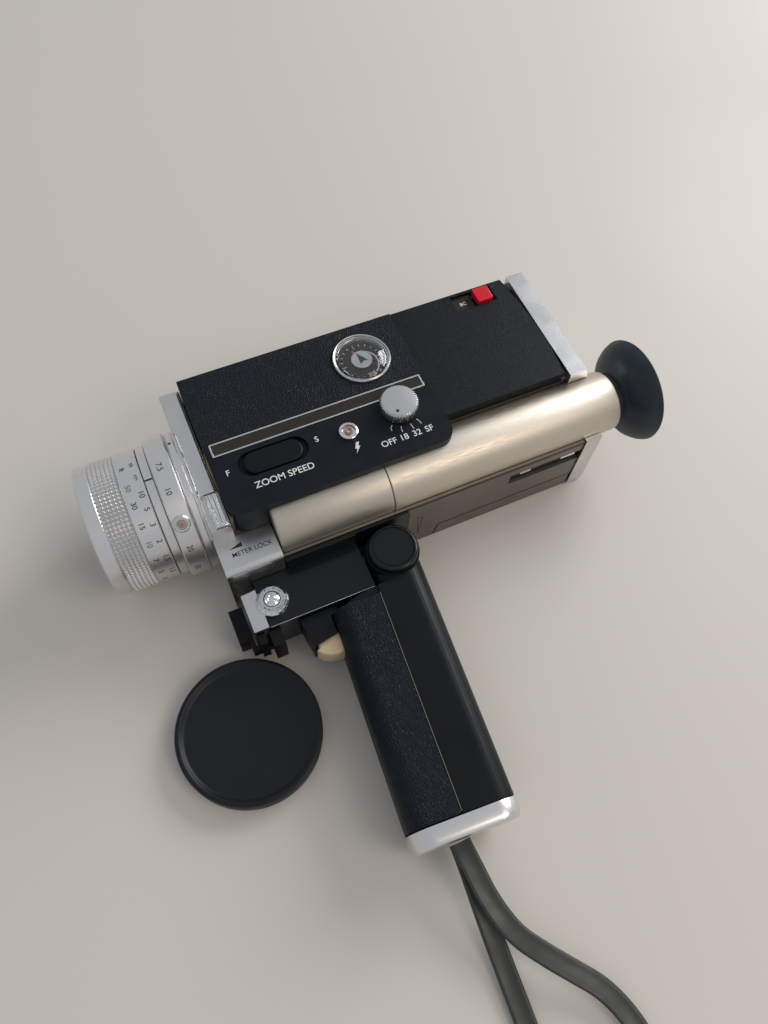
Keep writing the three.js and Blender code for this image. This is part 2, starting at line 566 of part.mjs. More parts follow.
function addControls() {
  const { x, y, radius } = COUNTER;
  const bezel = [[57.3, 11.4], [57.3, radius], [60.6, radius], [61.4, radius - 0.8],
    [61.4, 11.4], [57.3, 11.4]];
  addNode('counter_bezel', turnedZ(bezel, x, y, ROUND), CHROME);
  addNode('counter_hub', join(discZ(58.4, 59.6, x, y, 4.8), discZ(55, 59, x, y, 1.2)), SATIN_SILVER);
  const dome = [[60.2, 11.1], [61.8, 10.6], [62.8, 7], [63.2, 0], [62.4, 0], [62, 6.6],
    [61.2, 9.6], [60.2, 10.2], [60.2, 11.1]];
  addNode('counter_window', turnedZ(dome, x, y, SMALL_ROUND), GLASS);

  const knob = [[52, 0], [52, 2.6], [60.3, 2.6], [60.3, KNOB.radius], [65.2, KNOB.radius],
    [66.2, KNOB.radius - 0.9], [66.2, 0]];
  addNode('mode_knob', turnedZ(knob, KNOB.x, KNOB.y, ROUND), SATIN_SILVER);

  const socket = [[50, 0], [50, 3], [60.3, 3], [60.3, 4.1], [61.6, 4.1], [62.2, 3.4], [62.2, 1.3],
    [53, 1.3], [53, 0]];
  addNode('release_jack', turnedZ(socket, JACK.x, JACK.y), CHROME);

  const sx = SLIDER.x;
  addNode('zoom_slider', slab(roundedRect(sx - 13, sx + 13, SLIDER.y - 5.2, SLIDER.y + 5.2, 5.1),
    58.3, 60.9), BLACK_PLASTIC);
  const frame = cut(
    slab(roundedRect(11.9, 109.7, 0.3, 6.9, 0.3), 59.5, 60.15),
    slab(roundedRect(12.7, 108.9, 1.1, 6.1, 0.2), 59.75, 61),
  );
  addNode('name_bar', frame, SATIN_SILVER);
  const button = join(
    slab(roundedRect(153.4, 161.4, 33.6, 41.4, 1), 57.7, 61.2),
    discZ(52, 58, BC.x, BC.y, 1.9),
  );
  addNode('battery_check_button', button, RED);
  const ribs = [box(3, 8.6, -28.6, -12.2, FRONT_DECK - 1.7, FRONT_DECK + 0.4)];
  for (const x of [3.6, 5.4, 7.2]) {
    ribs.push(box(x, x + 0.9, -27.8, -13, FRONT_DECK, FRONT_DECK + 1.2));
  }
  addNode('meter_lock_slider', join(...ribs), CHROME);
}

// ---------------------------------------------------------------- grip arm

function addGripArm() {
  const { front, rear, top, bottom, right, left } = ARM;
  const frame = box(front, rear, bottom, top - GAP, right, left);
  const hollow = box(front + 3, rear - 3, bottom + 3, top + 1, right + 3, left - 3);
  const tongue = join(
    discZ(12.4, 22.2, PIVOT.x, PIVOT.y, PIVOT.boss - 0.6),
    box(rear - 4, PIVOT.x, PIVOT.y - 8, PIVOT.y + 11.2, 12.4, 22.2),
  );
  const basePlate = join(
    box(BASE_PLATE.front, rear, BASE_PLATE.bottom, top - GAP, 8, BASE_PLATE.left),
    box(BASE_PLATE.front, BASE_PLATE.rear, BASE_PLATE.thinBottom, top - GAP, 33.2, BASE_PLATE.left),
  );
  const pinBore = discZ(0, 40, PIVOT.x, PIVOT.y, PIVOT.pin + GAP);
  const socketSeat = discZ(24.5, 40, SOCKET.x, SOCKET.y, 5.6);
  addNode('grip_arm', join(cut(join(frame, tongue), hollow, pinBore, socketSeat), cut(basePlate, hollow)),
    BLACK_PAINT);

  const foot = cut(
    slab(polygon([[2.6, -67.4], [2.6, -50], [9.1, -49.6], [9.1, -67.4]]), 8, left + 0.8),
    box(5, 12, -63, -54, 7, 26),
  );
  const collar = [[29.9, 3.7], [29.9, 7], [31.4, 7], [33.2, 5.6], [33.2, 3.7], [29.9, 3.7]];
  const bridge = cut(box(8, 14, -61, -53.4, 29.9, left + 0.8), discZ(20, 40, SOCKET.x, SOCKET.y, 3.8));
  const endPlate = join(foot, bridge, turnedZ(collar, SOCKET.x, SOCKET.y));
  addNode('arm_end_plate', endPlate, SATIN_SILVER);
  addNode('release_button', discZ(27, 33.8, SOCKET.x, SOCKET.y, 3.3), CHROME);
  const latch = join(
    box(-4.7, 1.6, -64.5, -48.6, 4, 15),
    box(-0.4, 1.6, -70.4, -64, 10, 15),
    box(-0.4, 13.4, -70.4, -67.8, 10, 15),
    box(3.2, 6.6, -72.2, -67.8, 10, 27),
    box(8.2, 13.4, -75.2, -67.8, 10, 27),
  );
  addNode('fold_latch', latch, BLACK_PLASTIC);

  const knob = [[33, 0], [33, PIVOT.knob], [PIVOT.knobTop - 1.2, PIVOT.knob],
    [PIVOT.knobTop, PIVOT.knob - 1.1], [PIVOT.knobTop, 0]];
  const pin = discZ(4, 33.5, PIVOT.x, PIVOT.y, PIVOT.pin);
  addNode('pivot_bolt', join(turnedZ(knob, PIVOT.x, PIVOT.y, ROUND), pin), BLACK_PAINT);
}

// ---------------------------------------------------------------- handle, built upright and leaned

const LEAN = (GRIP.lean * Math.PI) / 180;

// grip pieces are drawn about the pivot, hanging straight down, then leaned forwards
function lean(solid) {
  return solid.rotate([0, 0, -GRIP.lean]).translate([PIVOT.x, PIVOT.y, 0]);
}

function gripSection(x0, x1, z0, z1, radius, y0, y1) {
  return sideSlab(roundedRect(x0, x1, z0, z1, radius), y0, y1, 5);
}

function addHandle() {
  const { right, left } = GRIP;
  const core = gripSection(GRIP.front + 1, GRIP.rear, right, left, 9, GRIP.bottom, GRIP.top);
  const slope = slab(polygon([[-40, -22], [-33, -18], [-10, -11.6], [-10, 0], [-40, 0]]), 0, 50);
  const ears = join(
    discZ(22.6, left, 0, 0, PIVOT.boss, ROUND),
    discZ(right, 12, 0, 0, PIVOT.boss, ROUND),
    gripSection(-11.6, GRIP.rear, right, left, 9, -20, 0),
  );
  const tongueSpace = join(
    discZ(12, 22.6, 0, 0, PIVOT.boss + 1.5, ROUND),
    slab(polygon([[-20, -9.4], [0, -13], [0, 14], [-20, 14]]), 12, 22.6),
  );
  const well = gripSection(-20.4, 10, 6, 29.8, 3, GRIP.bottom - 1, -14.2);
  const triggerSlot = box(-45, -22, -34, -21, 11.4, 24.2);
  const pinBore = discZ(0, 40, 0, 0, PIVOT.pin + GAP);
  const leatherBed = cut(
    gripSection(-50, GRIP.seam, -5, 50, 3, GRIP.bottom - 1, -10),
    gripSection(GRIP.front + 2, GRIP.rear, right + 1, left - 1, 8, GRIP.bottom - 2, 0),
  );
  const shell = cut(join(cut(core, slope), ears), tongueSpace, well, triggerSlot, pinBore, leatherBed);
  addNode('handle_shell', lean(shell), BLACK_PLASTIC);

  const wrap = cut(
    gripSection(GRIP.front, GRIP.rear + 8, right - 0.2, left + 0.2, 9.4, GRIP.bottom + 0.2, GRIP.top - 4),
    gripSection(GRIP.front + 1.7, GRIP.rear + 12, right + 1 - GAP, left - 1 + GAP, 8, GRIP.bottom - 2, 0),
    box(GRIP.seam - 0.8, 60, -130, 10, -5, 60),
    slope,
    box(-60, -20, -34.6, -20.4, 10.8, 24.8),
  );
  addNode('handle_leather', lean(wrap), BLACK_LEATHER);
  addBatteries();
}

function addBatteries() {
  const cap = gripSection(GRIP.front - 0.3, GRIP.rear + 0.2, GRIP.right - 0.3, GRIP.left + 0.3, 9.4,
    GRIP.cap, GRIP.bottom - GAP);
  const capHollow = gripSection(-20, 9.6, 6.4, 29.4, 3, GRIP.cap + 2, GRIP.bottom + 1);
  const spine = box(-19.8, -18.6, GRIP.cap + 1, -36, 9, 27);
  addNode('battery_cap', lean(join(cut(cap, capHollow), spine)), SATIN_SILVER);
  let number = 1;
  for (const x of [-11.2, 2.2]) {
    for (const row of [0, 1]) {
      const y0 = GRIP.cap + 2.4 + row * (CELL.length + 0.3);
      const cell = sideCylinder(x, 18, y0, y0 + CELL.length, CELL.radius);
      addNode(`battery_cell_${number}`, lean(cell), CELL_WRAP);
      number += 1;
    }
  }
}

function sideCylinder(x, z, y0, y1, radius) {
  const geometry = new THREE.CylinderGeometry(radius, radius, y1 - y0, SMALL_ROUND);
  geometry.translate(x, (y0 + y1) / 2, z);
  return toSolid(geometry);
}

function addTrigger() {
  const housing = cut(
    slab(polygon([[21.9, -67.9], [38.6, -67.9], [38.6, -71], [34.9, -71.2], [34.7, -79.2],
      [23.5, -81.1]]), 10, 26),
    slab(polygon([[24.7, -90], [24.7, -79.2], [34, -77.6], [40, -77.6], [40, -90]]), 11.2, 24.8),
  );
  addNode('trigger_housing', housing, BLACK_PLASTIC);
  const blade = slab(polygon([[25.2, -79.9], [25.2, -81.6], [23.9, -82.2], [28.1, -85.8],
    [32.9, -87.3], [36.6, -87.3], [36.6, -78.2], [34, -78.2]]), 12, 23.6);
  addNode('trigger', blade, CREAM);
}

// ---------------------------------------------------------------- strap and lens cap

// hand-laid route of the strap loop: out of the cap, round, and back beside itself
const STRAP_ROUTE = [
  [46.9, -173.3, 18.1], [47.2, -179, 17.8], [47.8, -186, 16.6], [48.6, -194, 14.4],
  [50.6, -203, 12], [54, -212, 10.8], [60.5, -221.5, 10], [67.6, -230.5, 8.6],
  [73.2, -237.5, 7], [77, -244, 5.4], [80, -252, 3.9], [81.6, -260, 2.8], [82.6, -270, 2.2],
  [81.8, -282, 2], [77.4, -294, 2], [69, -303, 2], [58.6, -305.6, 2], [49.6, -300.6, 2],
  [44.6, -290, 2], [42.8, -277, 2], [42.8, -262, 2], [43.4, -248, 2], [44.2, -234, 2.4],
  [44.9, -220, 3.4], [45.5, -207, 5.4], [46.1, -195, 8.6], [46.6, -184, 12.4],
  [46.8, -177, 14.8], [46.9, -173.3, 15.4],
];

function addStrap() {
  const curve = new THREE.CatmullRomCurve3(STRAP_ROUTE.map(([x, y, z]) => new THREE.Vector3(x, y, z)));
  const half = STRAP.width / 2;
  const t = STRAP.thickness / 2;
  const edge = 0.5;
  const section = polygon([[t, edge - half], [t, half - edge], [t - edge, half], [edge - t, half],
    [-t, half - edge], [-t, edge - half], [edge - t, -half], [t - edge, -half]]);
  const geometry = new THREE.ExtrudeGeometry(section, {
    steps: 44, bevelEnabled: false, extrudePath: curve,
  });
  addNode('strap', toSolid(geometry), VINYL);
}

function addLensCap() {
  const { x, y, radius: r, height: h } = CAP;
  const profile = [[0, r - 1.4], [0, r], [h - 0.9, r], [h, r - 0.9], [h, r - 2.6], [h - 1.1, r - 3.2],
    [h - 1.1, 0], [h - 2.6, 0], [h - 2.6, r - 1.4], [0, r - 1.4]];
  addNode('lens_cap', turnedZ(profile, x, y, ROUND), BLACK_PLASTIC);
}

// ---------------------------------------------------------------- assembly

addFrontHousing();
addBodyShell();
addRightCover();
addLeftFrontPanel();
addLeftRearCover();
addRearPlate();
addFilmDoor();
addLens();
addZoomDrive();
addFilmDrive();
addElectrics();
addFinder();
addControls();
addGripArm();
addHandle();
addTrigger();
addStrap();
addLensCap();

// the origin goes to the middle of the bottom of the box round everything but the strap
const extent = new THREE.Box3();
for (const mesh of camera.children) {
  if (mesh.name !== 'strap') extent.expandByObject(mesh, true);
}
const middle = extent.getCenter(new THREE.Vector3());
camera.position.set(-middle.x, -middle.y, -extent.min.z);
camera.updateMatrixWorld(true);

export default camera;
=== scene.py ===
import json
import math

import bmesh
import bpy
from mathutils import Matrix, Vector


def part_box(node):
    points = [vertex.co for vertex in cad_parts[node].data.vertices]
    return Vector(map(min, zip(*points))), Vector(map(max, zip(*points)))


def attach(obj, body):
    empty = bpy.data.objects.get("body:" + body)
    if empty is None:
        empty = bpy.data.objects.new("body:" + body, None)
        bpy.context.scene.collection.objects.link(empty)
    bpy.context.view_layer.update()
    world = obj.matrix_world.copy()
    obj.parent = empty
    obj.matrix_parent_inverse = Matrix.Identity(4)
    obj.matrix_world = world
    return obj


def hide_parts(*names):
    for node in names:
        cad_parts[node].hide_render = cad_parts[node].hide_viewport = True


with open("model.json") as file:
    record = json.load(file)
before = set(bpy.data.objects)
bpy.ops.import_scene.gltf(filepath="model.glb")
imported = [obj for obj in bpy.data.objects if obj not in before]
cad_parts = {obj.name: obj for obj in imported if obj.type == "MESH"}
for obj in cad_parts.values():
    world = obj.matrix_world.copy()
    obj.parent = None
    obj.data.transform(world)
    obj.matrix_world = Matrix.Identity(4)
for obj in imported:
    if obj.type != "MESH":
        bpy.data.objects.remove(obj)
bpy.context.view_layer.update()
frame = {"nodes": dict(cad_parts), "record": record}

# ---------------------------------------------------------------- the drawing frame
# Pieces are drawn in millimetres: x runs from the lens seat to the eyepiece, y is the
# camera's own top and z is up from the table. SHELL_CORNER is where the body shell starts.

MM = 0.001
SHELL_CORNER = Vector((9.4, -43.5, 0.0))
ORIGIN = Vector(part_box("body_shell")[0]) - SHELL_CORNER * MM
TO_ROW = Matrix.Translation(ORIGIN) @ Matrix.Scale(MM, 4)

LENS_Y, LENS_Z = 0.9, 32.3
TUBE_Y, TUBE_Z, TUBE_R, TUBE_BORE = -28.0, 41.5, 14.2, 12.3
COUNTER = (89.6, 24.4)
KNOB = (94.0, -6.2)
JACK = (69.0, -9.5)
SLIDER = (35.5, -8.1)
PIVOT = (70.1, -56.4)
SOCKET = (14.2, -57.2)
CAP = (-13.6, -98.6)
CAP_R = 30.8
LEAN = math.radians(4.4)
PANEL_TOP = 60.0
PANEL_INK_Z = PANEL_TOP + 0.02
LETTER_RELIEF = 0.02
LETTER_WEIGHT = 0.03


def row(x, y, z):
    """A drawing point in the row frame, in metres."""
    return TO_ROW @ Vector((x, y, z))


# ---------------------------------------------------------------- material building


class Shader:
    """A node material with short calls for the textures that the looks below share."""

    def __init__(self, name, color, rough, metallic=0.0, **sockets):
        self.material = bpy.data.materials.new(name)
        self.material.use_nodes = True
        self.nodes = self.material.node_tree.nodes
        self.links = self.material.node_tree.links
        self.bsdf = self.nodes["Principled BSDF"]
        self.set("Base Color", (*color, 1.0))
        self.set("Roughness", rough)
        self.set("Metallic", metallic)
        for socket, value in sockets.items():
            self.set(socket.replace("_", " "), value)
        self.coords = self.nodes.new("ShaderNodeTexCoord").outputs["Object"]
        self.normal = None

    def set(self, socket, value):
        self.bsdf.inputs[socket].default_value = value

    def stretched(self, scale):
        mapping = self.nodes.new("ShaderNodeMapping")
        mapping.inputs["Scale"].default_value = scale
        self.links.new(self.coords, mapping.inputs["Vector"])
        return mapping.outputs["Vector"]

    def noise(self, per_metre, detail=3.0, stretch=(1, 1, 1), rough=0.5):
        node = self.nodes.new("ShaderNodeTexNoise")
        node.inputs["Scale"].default_value = per_metre
        node.inputs["Detail"].default_value = detail
        node.inputs["Roughness"].default_value = rough
        self.links.new(self.stretched(stretch), node.inputs["Vector"])
        return node.outputs["Fac"]

    def cells(self, per_metre, feature="F1", stretch=(1, 1, 1)):
        node = self.nodes.new("ShaderNodeTexVoronoi")
        node.feature = feature
        node.inputs["Scale"].default_value = per_metre
        self.links.new(self.stretched(stretch), node.inputs["Vector"])
        return node.outputs["Distance"]

    def ramp(self, value, low, high, start=0.0, end=1.0):
        node = self.nodes.new("ShaderNodeMapRange")
        node.inputs["From Min"].default_value = low
        node.inputs["From Max"].default_value = high
        node.inputs["To Min"].default_value = start
        node.inputs["To Max"].default_value = end
        self.links.new(value, node.inputs["Value"])
        return node.outputs["Result"]

    def times(self, value, other):
        return self.math("MULTIPLY", value, other)

    def math(self, operation, value, other):
        node = self.nodes.new("ShaderNodeMath")
        node.operation = operation
        self.links.new(value, node.inputs[0])
        if isinstance(other, (int, float)):
            node.inputs[1].default_value = other
        else:
            self.links.new(other, node.inputs[1])
        return node.outputs[0]

    def along(self, axis):
        node = self.nodes.new("ShaderNodeSeparateXYZ")
        self.links.new(self.coords, node.inputs[0])
        return node.outputs[axis]

    def tint(self, factor, color):
        """Mixes a second colour over the first where factor is 1."""
        mix = self.nodes.new("ShaderNodeMix")
        mix.data_type = "RGBA"
        socket = self.bsdf.inputs["Base Color"]
        if socket.is_linked:
            self.links.new(socket.links[0].from_socket, mix.inputs["A"])
        else:
            mix.inputs["A"].default_value = socket.default_value
        mix.inputs["B"].default_value = (*color, 1.0)
        self.links.new(factor, mix.inputs["Factor"])
        self.links.new(mix.outputs["Result"], socket)

    def roughness(self, value, low, high):
        self.links.new(self.ramp(value, 0.3, 0.7, low, high), self.bsdf.inputs["Roughness"])

    def bump(self, height, depth_mm, strength=1.0):
        node = self.nodes.new("ShaderNodeBump")
        node.inputs["Distance"].default_value = depth_mm * MM
        node.inputs["Strength"].default_value = strength
        self.links.new(height, node.inputs["Height"])
        if self.normal:
            self.links.new(self.normal, node.inputs["Normal"])
        self.normal = node.outputs["Normal"]
        self.links.new(self.normal, self.bsdf.inputs["Normal"])


METAL_GRAIN_MM = 0.002


def metal(name, color, rough, spread=0.08, scratch=(1, 1, 1), wear=(0.5, 0.48, 0.45)):
    look = Shader(name, color, rough, 1.0)
    cloud = look.noise(60, 4)
    look.roughness(cloud, rough - spread, rough + spread)
    look.tint(look.ramp(cloud, 0.35, 0.75, 0.0, 0.35), wear)
    look.bump(look.noise(900, 2, scratch), METAL_GRAIN_MM, 0.1)
    return look.material


def brushed(name, color, rough, stretch):
    look = Shader(name, color, rough, 1.0)
    grain = look.noise(700, 4, stretch)
    look.roughness(grain, rough - 0.08, rough + 0.12)
    dark = [c * 0.72 for c in color]
    look.tint(look.ramp(look.noise(1500, 2, stretch), 0.45, 0.8, 0.0, 0.25), dark)
    look.tint(look.ramp(look.noise(55, 4), 0.45, 0.75, 0.0, 0.3), [c * 0.82 for c in color])
    specks = look.cells(160)
    look.tint(look.ramp(specks, 0.035, 0.02), (0.09, 0.075, 0.06))
    look.bump(grain, 0.003, 0.4)
    return look.material


def plastic(name, color, rough, coat=0.0, grain_mm=0.02, specular=0.16):
    look = Shader(name, color, rough, 0.0, Coat_Weight=coat, Specular_IOR_Level=specular)
    cloud = look.noise(45, 5)
    look.roughness(cloud, rough - 0.07, rough + 0.1)
    dust = look.ramp(look.cells(420), 0.05, 0.03)
    wear_and_sheen = look.times(dust, look.ramp(look.noise(35, 2), 0.52, 0.62))
    look.tint(look.times(wear_and_sheen, 0.25), (0.2, 0.2, 0.2))
    look.bump(look.noise(1800, 2), grain_mm, 0.4)
    return look.material


def leather(name, color, cell, depth_mm, rough, flat_below=None, wear_and_sheen=(0.011, 0.015, 0.020)):
    look = Shader(name, color, rough, 0.0, Specular_IOR_Level=0.16)
    creases = look.cells(cell, "DISTANCE_TO_EDGE")
    pebbles = look.ramp(creases, 0.0, 0.22)
    fine = look.noise(cell * 1.6, 3)
    if flat_below is not None:
        above = look.ramp(look.along("Y"), flat_below, flat_below + 0.0004)
        pebbles = look.times(pebbles, above)
        fine = look.times(fine, above)
    look.bump(pebbles, depth_mm)
    look.bump(fine, depth_mm * 0.5, 0.5)
    look.roughness(look.noise(70, 4), rough - 0.08, rough + 0.1)
    # Painted sheen: lighter bluish patches, spread by noise, are mixed into the colour to stand in for
    # the sheen of light on the leather.
    look.tint(look.ramp(look.noise(240, 4), 0.5, 0.75, 0.0, 0.5), wear_and_sheen)
    dust = look.ramp(look.cells(500), 0.045, 0.028)
    patches = look.ramp(look.noise(40, 2), 0.5, 0.6, 0.0, 0.3)
    look.tint(look.times(dust, patches), (0.12, 0.125, 0.13))
    return look.material


def print_ink(name, color):
    look = Shader(name, color, 0.5)
    wear_and_sheen = look.noise(900, 3)
    look.tint(look.ramp(wear_and_sheen, 0.5, 0.8, 0.0, 0.35), [c * 0.55 + 0.05 for c in color])
    return look.material


def clear_glass(name, color, rough=0.02):
    look = Shader(name, color, rough, 0.0, IOR=1.5, Transmission_Weight=1.0)
    return look.material


def rubber_look():
    look = Shader("rubber", (0.010, 0.017, 0.026), 0.42, 0.0, Specular_IOR_Level=0.4)
    look.roughness(look.noise(90, 4), 0.34, 0.52)
    look.tint(look.ramp(look.noise(120, 5), 0.45, 0.8, 0.0, 0.6), (0.035, 0.05, 0.068))
    look.bump(look.noise(1400, 2), 0.03, 0.4)
    return look.material


def vinyl_look():
    look = Shader("vinyl", (0.030, 0.034, 0.030), 0.42)
    look.roughness(look.noise(120, 4), 0.34, 0.5)
    look.tint(look.ramp(look.noise(260, 4), 0.45, 0.8, 0.0, 0.6), (0.014, 0.017, 0.016))
    look.bump(look.cells(1500, "DISTANCE_TO_EDGE"), 0.04, 0.5)
    return look.material


def wrap_look():
    look = Shader("cell_print", (0.45, 0.08, 0.05), 0.35, 0.3)
    bands = look.ramp(look.noise(300, 1, (1, 4, 1)), 0.48, 0.52)
    look.tint(bands, (0.55, 0.42, 0.16))
    return look.material


def table_look():
    look = Shader("pale_table", (0.61, 0.57, 0.515), 0.55)
    look.roughness(look.noise(6, 3), 0.5, 0.6)
    look.tint(look.ramp(look.noise(3, 2), 0.4, 0.7, 0.0, 0.25), (0.56, 0.525, 0.475))
    return look.material


SILVER = metal("satin_silver", (0.70, 0.70, 0.69), 0.27, 0.06)
LENS_SILVER = metal("lens_silver", (0.78, 0.77, 0.76), 0.30, 0.05, (0.2, 3, 3), (0.62, 0.6, 0.58))
POLISHED = metal("polished_silver", (0.86, 0.86, 0.85), 0.12, 0.04)
CHAMPAGNE = brushed("champagne", (0.64, 0.58, 0.49), 0.46, (0.25, 3, 3))
GREY_METAL = metal("grey_metal", (0.24, 0.215, 0.185), 0.46, 0.07, (1, 1, 1), (0.19, 0.165, 0.14))
STEEL = brushed("steel", (0.55, 0.55, 0.55), 0.35, (3, 0.3, 3))
BRASS = metal("brass", (0.70, 0.52, 0.25), 0.3)
PANEL_SKIN = leather("panel_skin", (0.006, 0.009, 0.013), 950, 0.14, 0.42, row(0, 7.4, 0).y)
REAR_SKIN = leather("rear_skin", (0.006, 0.0085, 0.010), 1100, 0.05, 0.42)
# The grip leather's last colour is the lighter bluish tint of its painted sheen.
GRIP_SKIN = leather("grip_skin", (0.007, 0.011, 0.017), 900, 0.2, 0.42, None, (0.017, 0.024, 0.034))
BLACK_PAINT = plastic("black_paint", (0.004, 0.006, 0.007), 0.32, 0.3, 0.015)
BLACK_PLASTIC = plastic("black_plastic", (0.005, 0.0065, 0.007), 0.40)
CAP_PLASTIC = plastic("cap_plastic", (0.007, 0.009, 0.012), 0.38, 0.0, 0.03, 0.25)
DARK_BROWN = plastic("dark_brown", (0.030, 0.025, 0.020), 0.5)
RED = plastic("red_plastic", (0.62, 0.005, 0.018), 0.28, 0.5, 0.01)
CREAM = plastic("cream_plastic", (0.62, 0.49, 0.29), 0.32, 0.3, 0.01, 0.5)
BOARD = plastic("board_green", (0.03, 0.13, 0.05), 0.45)
RUBBER = rubber_look()
VINYL = vinyl_look()
CELL_PRINT = wrap_look()
GLASS = clear_glass("coated_glass", (0.86, 0.90, 0.95))
WINDOW = clear_glass("clear_window", (0.96, 0.97, 0.97))
WHITE_INK = print_ink("white_ink", (0.70, 0.70, 0.68))
BLACK_INK = print_ink("black_ink", (0.02, 0.02, 0.02))
GREEN_INK = print_ink("green_ink", (0.10, 0.22, 0.12))
ORANGE_INK = print_ink("orange_ink", (0.80, 0.16, 0.04))
RUST = metal("worn_screw", (0.36, 0.22, 0.20), 0.45)

NODE_LOOKS = {
    "satin_silver": SILVER, "champagne_metal": CHAMPAGNE, "grey_metal": GREY_METAL,
    "chrome": POLISHED, "steel": STEEL, "brass": BRASS, "black_leather": REAR_SKIN,
    "black_paint": BLACK_PAINT, "black_plastic": BLACK_PLASTIC, "black_rubber": RUBBER,
    "vinyl": VINYL, "red_plastic": RED, "cream_plastic": CREAM, "glass": GLASS,
    "board": BOARD, "cell_wrap": CELL_PRINT,
}

# ---------------------------------------------------------------- mesh building


def finish_piece(name, mesh, material, body, replaced=(), sharp=35):
    mesh.transform(TO_ROW)
    mesh.name = name
    piece = bpy.data.objects.new(name, mesh)
    bpy.context.collection.objects.link(piece)
    mesh.materials.clear()
    mesh.materials.append(material)
    mesh.polygons.foreach_set("use_smooth", [True] * len(mesh.polygons))
    mesh.set_sharp_from_angle(angle=math.radians(sharp))
    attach(piece, body)
    if replaced:
        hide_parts(*replaced)
    return piece


def from_bmesh(name, bm, material, body, replaced=(), sharp=35):
    bmesh.ops.recalc_face_normals(bm, faces=bm.faces)
    mesh = bpy.data.meshes.new(name)
    bm.to_mesh(mesh)
    bm.free()
    return finish_piece(name, mesh, material, body, replaced, sharp)


def round_edges(piece, width_mm, segments=2, angle=32):
    bevel = piece.modifiers.new("edges", "BEVEL")
    bevel.width = width_mm * MM
    bevel.segments = segments
    bevel.limit_method = "ANGLE"
    bevel.angle_limit = math.radians(angle)
    bevel.harden_normals = False
    return piece


def on_axis(axis, centre, along, radius, angle):
    """A point at that place along a turned piece's axis. Angle 0 is up for axis x and +X for
    axis z, and 90 degrees is -Y for both."""
    side, up = radius * math.sin(angle), radius * math.cos(angle)
    if axis == "x":
        return (along, centre[0] - side, centre[1] + up)
    return (centre[0] + up, centre[1] - side, along)


def add_turned(bm, profile, axis, centre, sides):
    closed = profile[0] == profile[-1]
    rings = []
    for along, radius in profile[:-1] if closed else profile:
        if radius < 1e-5:
            rings.append([bm.verts.new(on_axis(axis, centre, along, 0, 0))] * sides)
            continue
        rings.append([bm.verts.new(on_axis(axis, centre, along, radius, 2 * math.pi * i / sides))
                      for i in range(sides)])
    if closed:
        rings.append(rings[0])
    for first, second in zip(rings, rings[1:]):
        for i in range(sides):
            j = (i + 1) % sides
            corners = [first[i], first[j], second[j], second[i]]
            unique = list(dict.fromkeys(corners))
            if len(unique) > 2:
                bm.faces.new(unique)


def turned(name, profile, axis, centre, material, body, replaced=(), sides=112):
    bm = bmesh.new()
    add_turned(bm, profile, axis, centre, sides)
    return from_bmesh(name, bm, material, body, replaced)


def skin_rings(bm, rings):
    """Faces between each ring and the next, with the first and the last ring closed."""
    count = len(rings[0])
    for first, second in zip(rings, rings[1:]):
        for i in range(count):
            j = (i + 1) % count
            bm.faces.new([first[i], first[j], second[j], second[i]])
    bm.faces.new(rings[0])
    bm.faces.new(rings[-1][::-1])


BLOCK_FACES = ((0, 1, 3, 2), (4, 5, 7, 6), (0, 1, 5, 4), (2, 3, 7, 6), (0, 2, 6, 4), (1, 3, 7, 5))


def add_block(bm, x0, x1, y0, y1, z0, z1):
    corners = [bm.verts.new((x, y, z)) for z in (z0, z1) for y in (y0, y1) for x in (x0, x1)]
    for a, b, c, d in BLOCK_FACES:
        bm.faces.new([corners[a], corners[b], corners[c], corners[d]])


def blocks(name, boxes, material, body, replaced=(), edge=0.25):
    bm = bmesh.new()
    for one in boxes:
        add_block(bm, *one)
    return round_edges(from_bmesh(name, bm, material, body, replaced), edge)


def rounded(x0, x1, y0, y1, radius, steps=8):
    """A rectangle's outline with round corners, anticlockwise."""
    points = []
    corners = ((x1 - radius, y0 + radius, -90), (x1 - radius, y1 - radius, 0),
               (x0 + radius, y1 - radius, 90), (x0 + radius, y0 + radius, 180))
    for cx, cy, start in corners:
        for i in range(steps + 1):
            angle = math.radians(start + 90 * i / steps)
            points.append((cx + radius * math.cos(angle), cy + radius * math.sin(angle)))
    return points


def ring_outline(cx, cy, radius, steps=64):
    angles = [2 * math.pi * i / steps for i in range(steps)]
    return [(cx + radius * math.cos(angle), cy + radius * math.sin(angle)) for angle in angles]


def mesh_of(curve):
    """The mesh of a curve, made through an object that isn't kept."""
    holder = bpy.data.objects.new("curve_holder", curve)
    bpy.context.collection.objects.link(holder)
    bpy.context.view_layer.update()
    drawn = holder.evaluated_get(bpy.context.evaluated_depsgraph_get())
    mesh = bpy.data.meshes.new_from_object(drawn)
    bpy.data.objects.remove(holder)
    return mesh


def flat_mesh(outlines, low, high, edge):
    """Outlines in X and Y, the first outside and the rest holes, made thick with round edges."""
    curve = bpy.data.curves.new("outline", "CURVE")
    curve.dimensions = "2D"
    curve.fill_mode = "BOTH"
    for outline in outlines:
        spline = curve.splines.new("POLY")
        spline.points.add(len(outline) - 1)
        for point, (x, y) in zip(spline.points, outline):
            point.co = (x, y, 0, 1)
        spline.use_cyclic_u = True
    curve.bevel_depth = edge
    curve.bevel_resolution = 2
    curve.offset = -edge
    curve.extrude = (high - low) / 2 - edge
    mesh = mesh_of(curve)
    mesh.transform(Matrix.Translation((0, 0, (low + high) / 2)))
    return mesh


def plate(name, outlines, low, high, material, body, replaced=(), edge=0.3, turn=None):
    mesh = flat_mesh(outlines, low, high, edge)
    if turn:
        mesh.transform(turn)
    return finish_piece(name, mesh, material, body, replaced)


def leaned():
    """Grip pieces are drawn hanging straight down from the pivot and then leaned forwards."""
    return Matrix.Translation((PIVOT[0], PIVOT[1], 0)) @ Matrix.Rotation(-LEAN, 4, "Z")


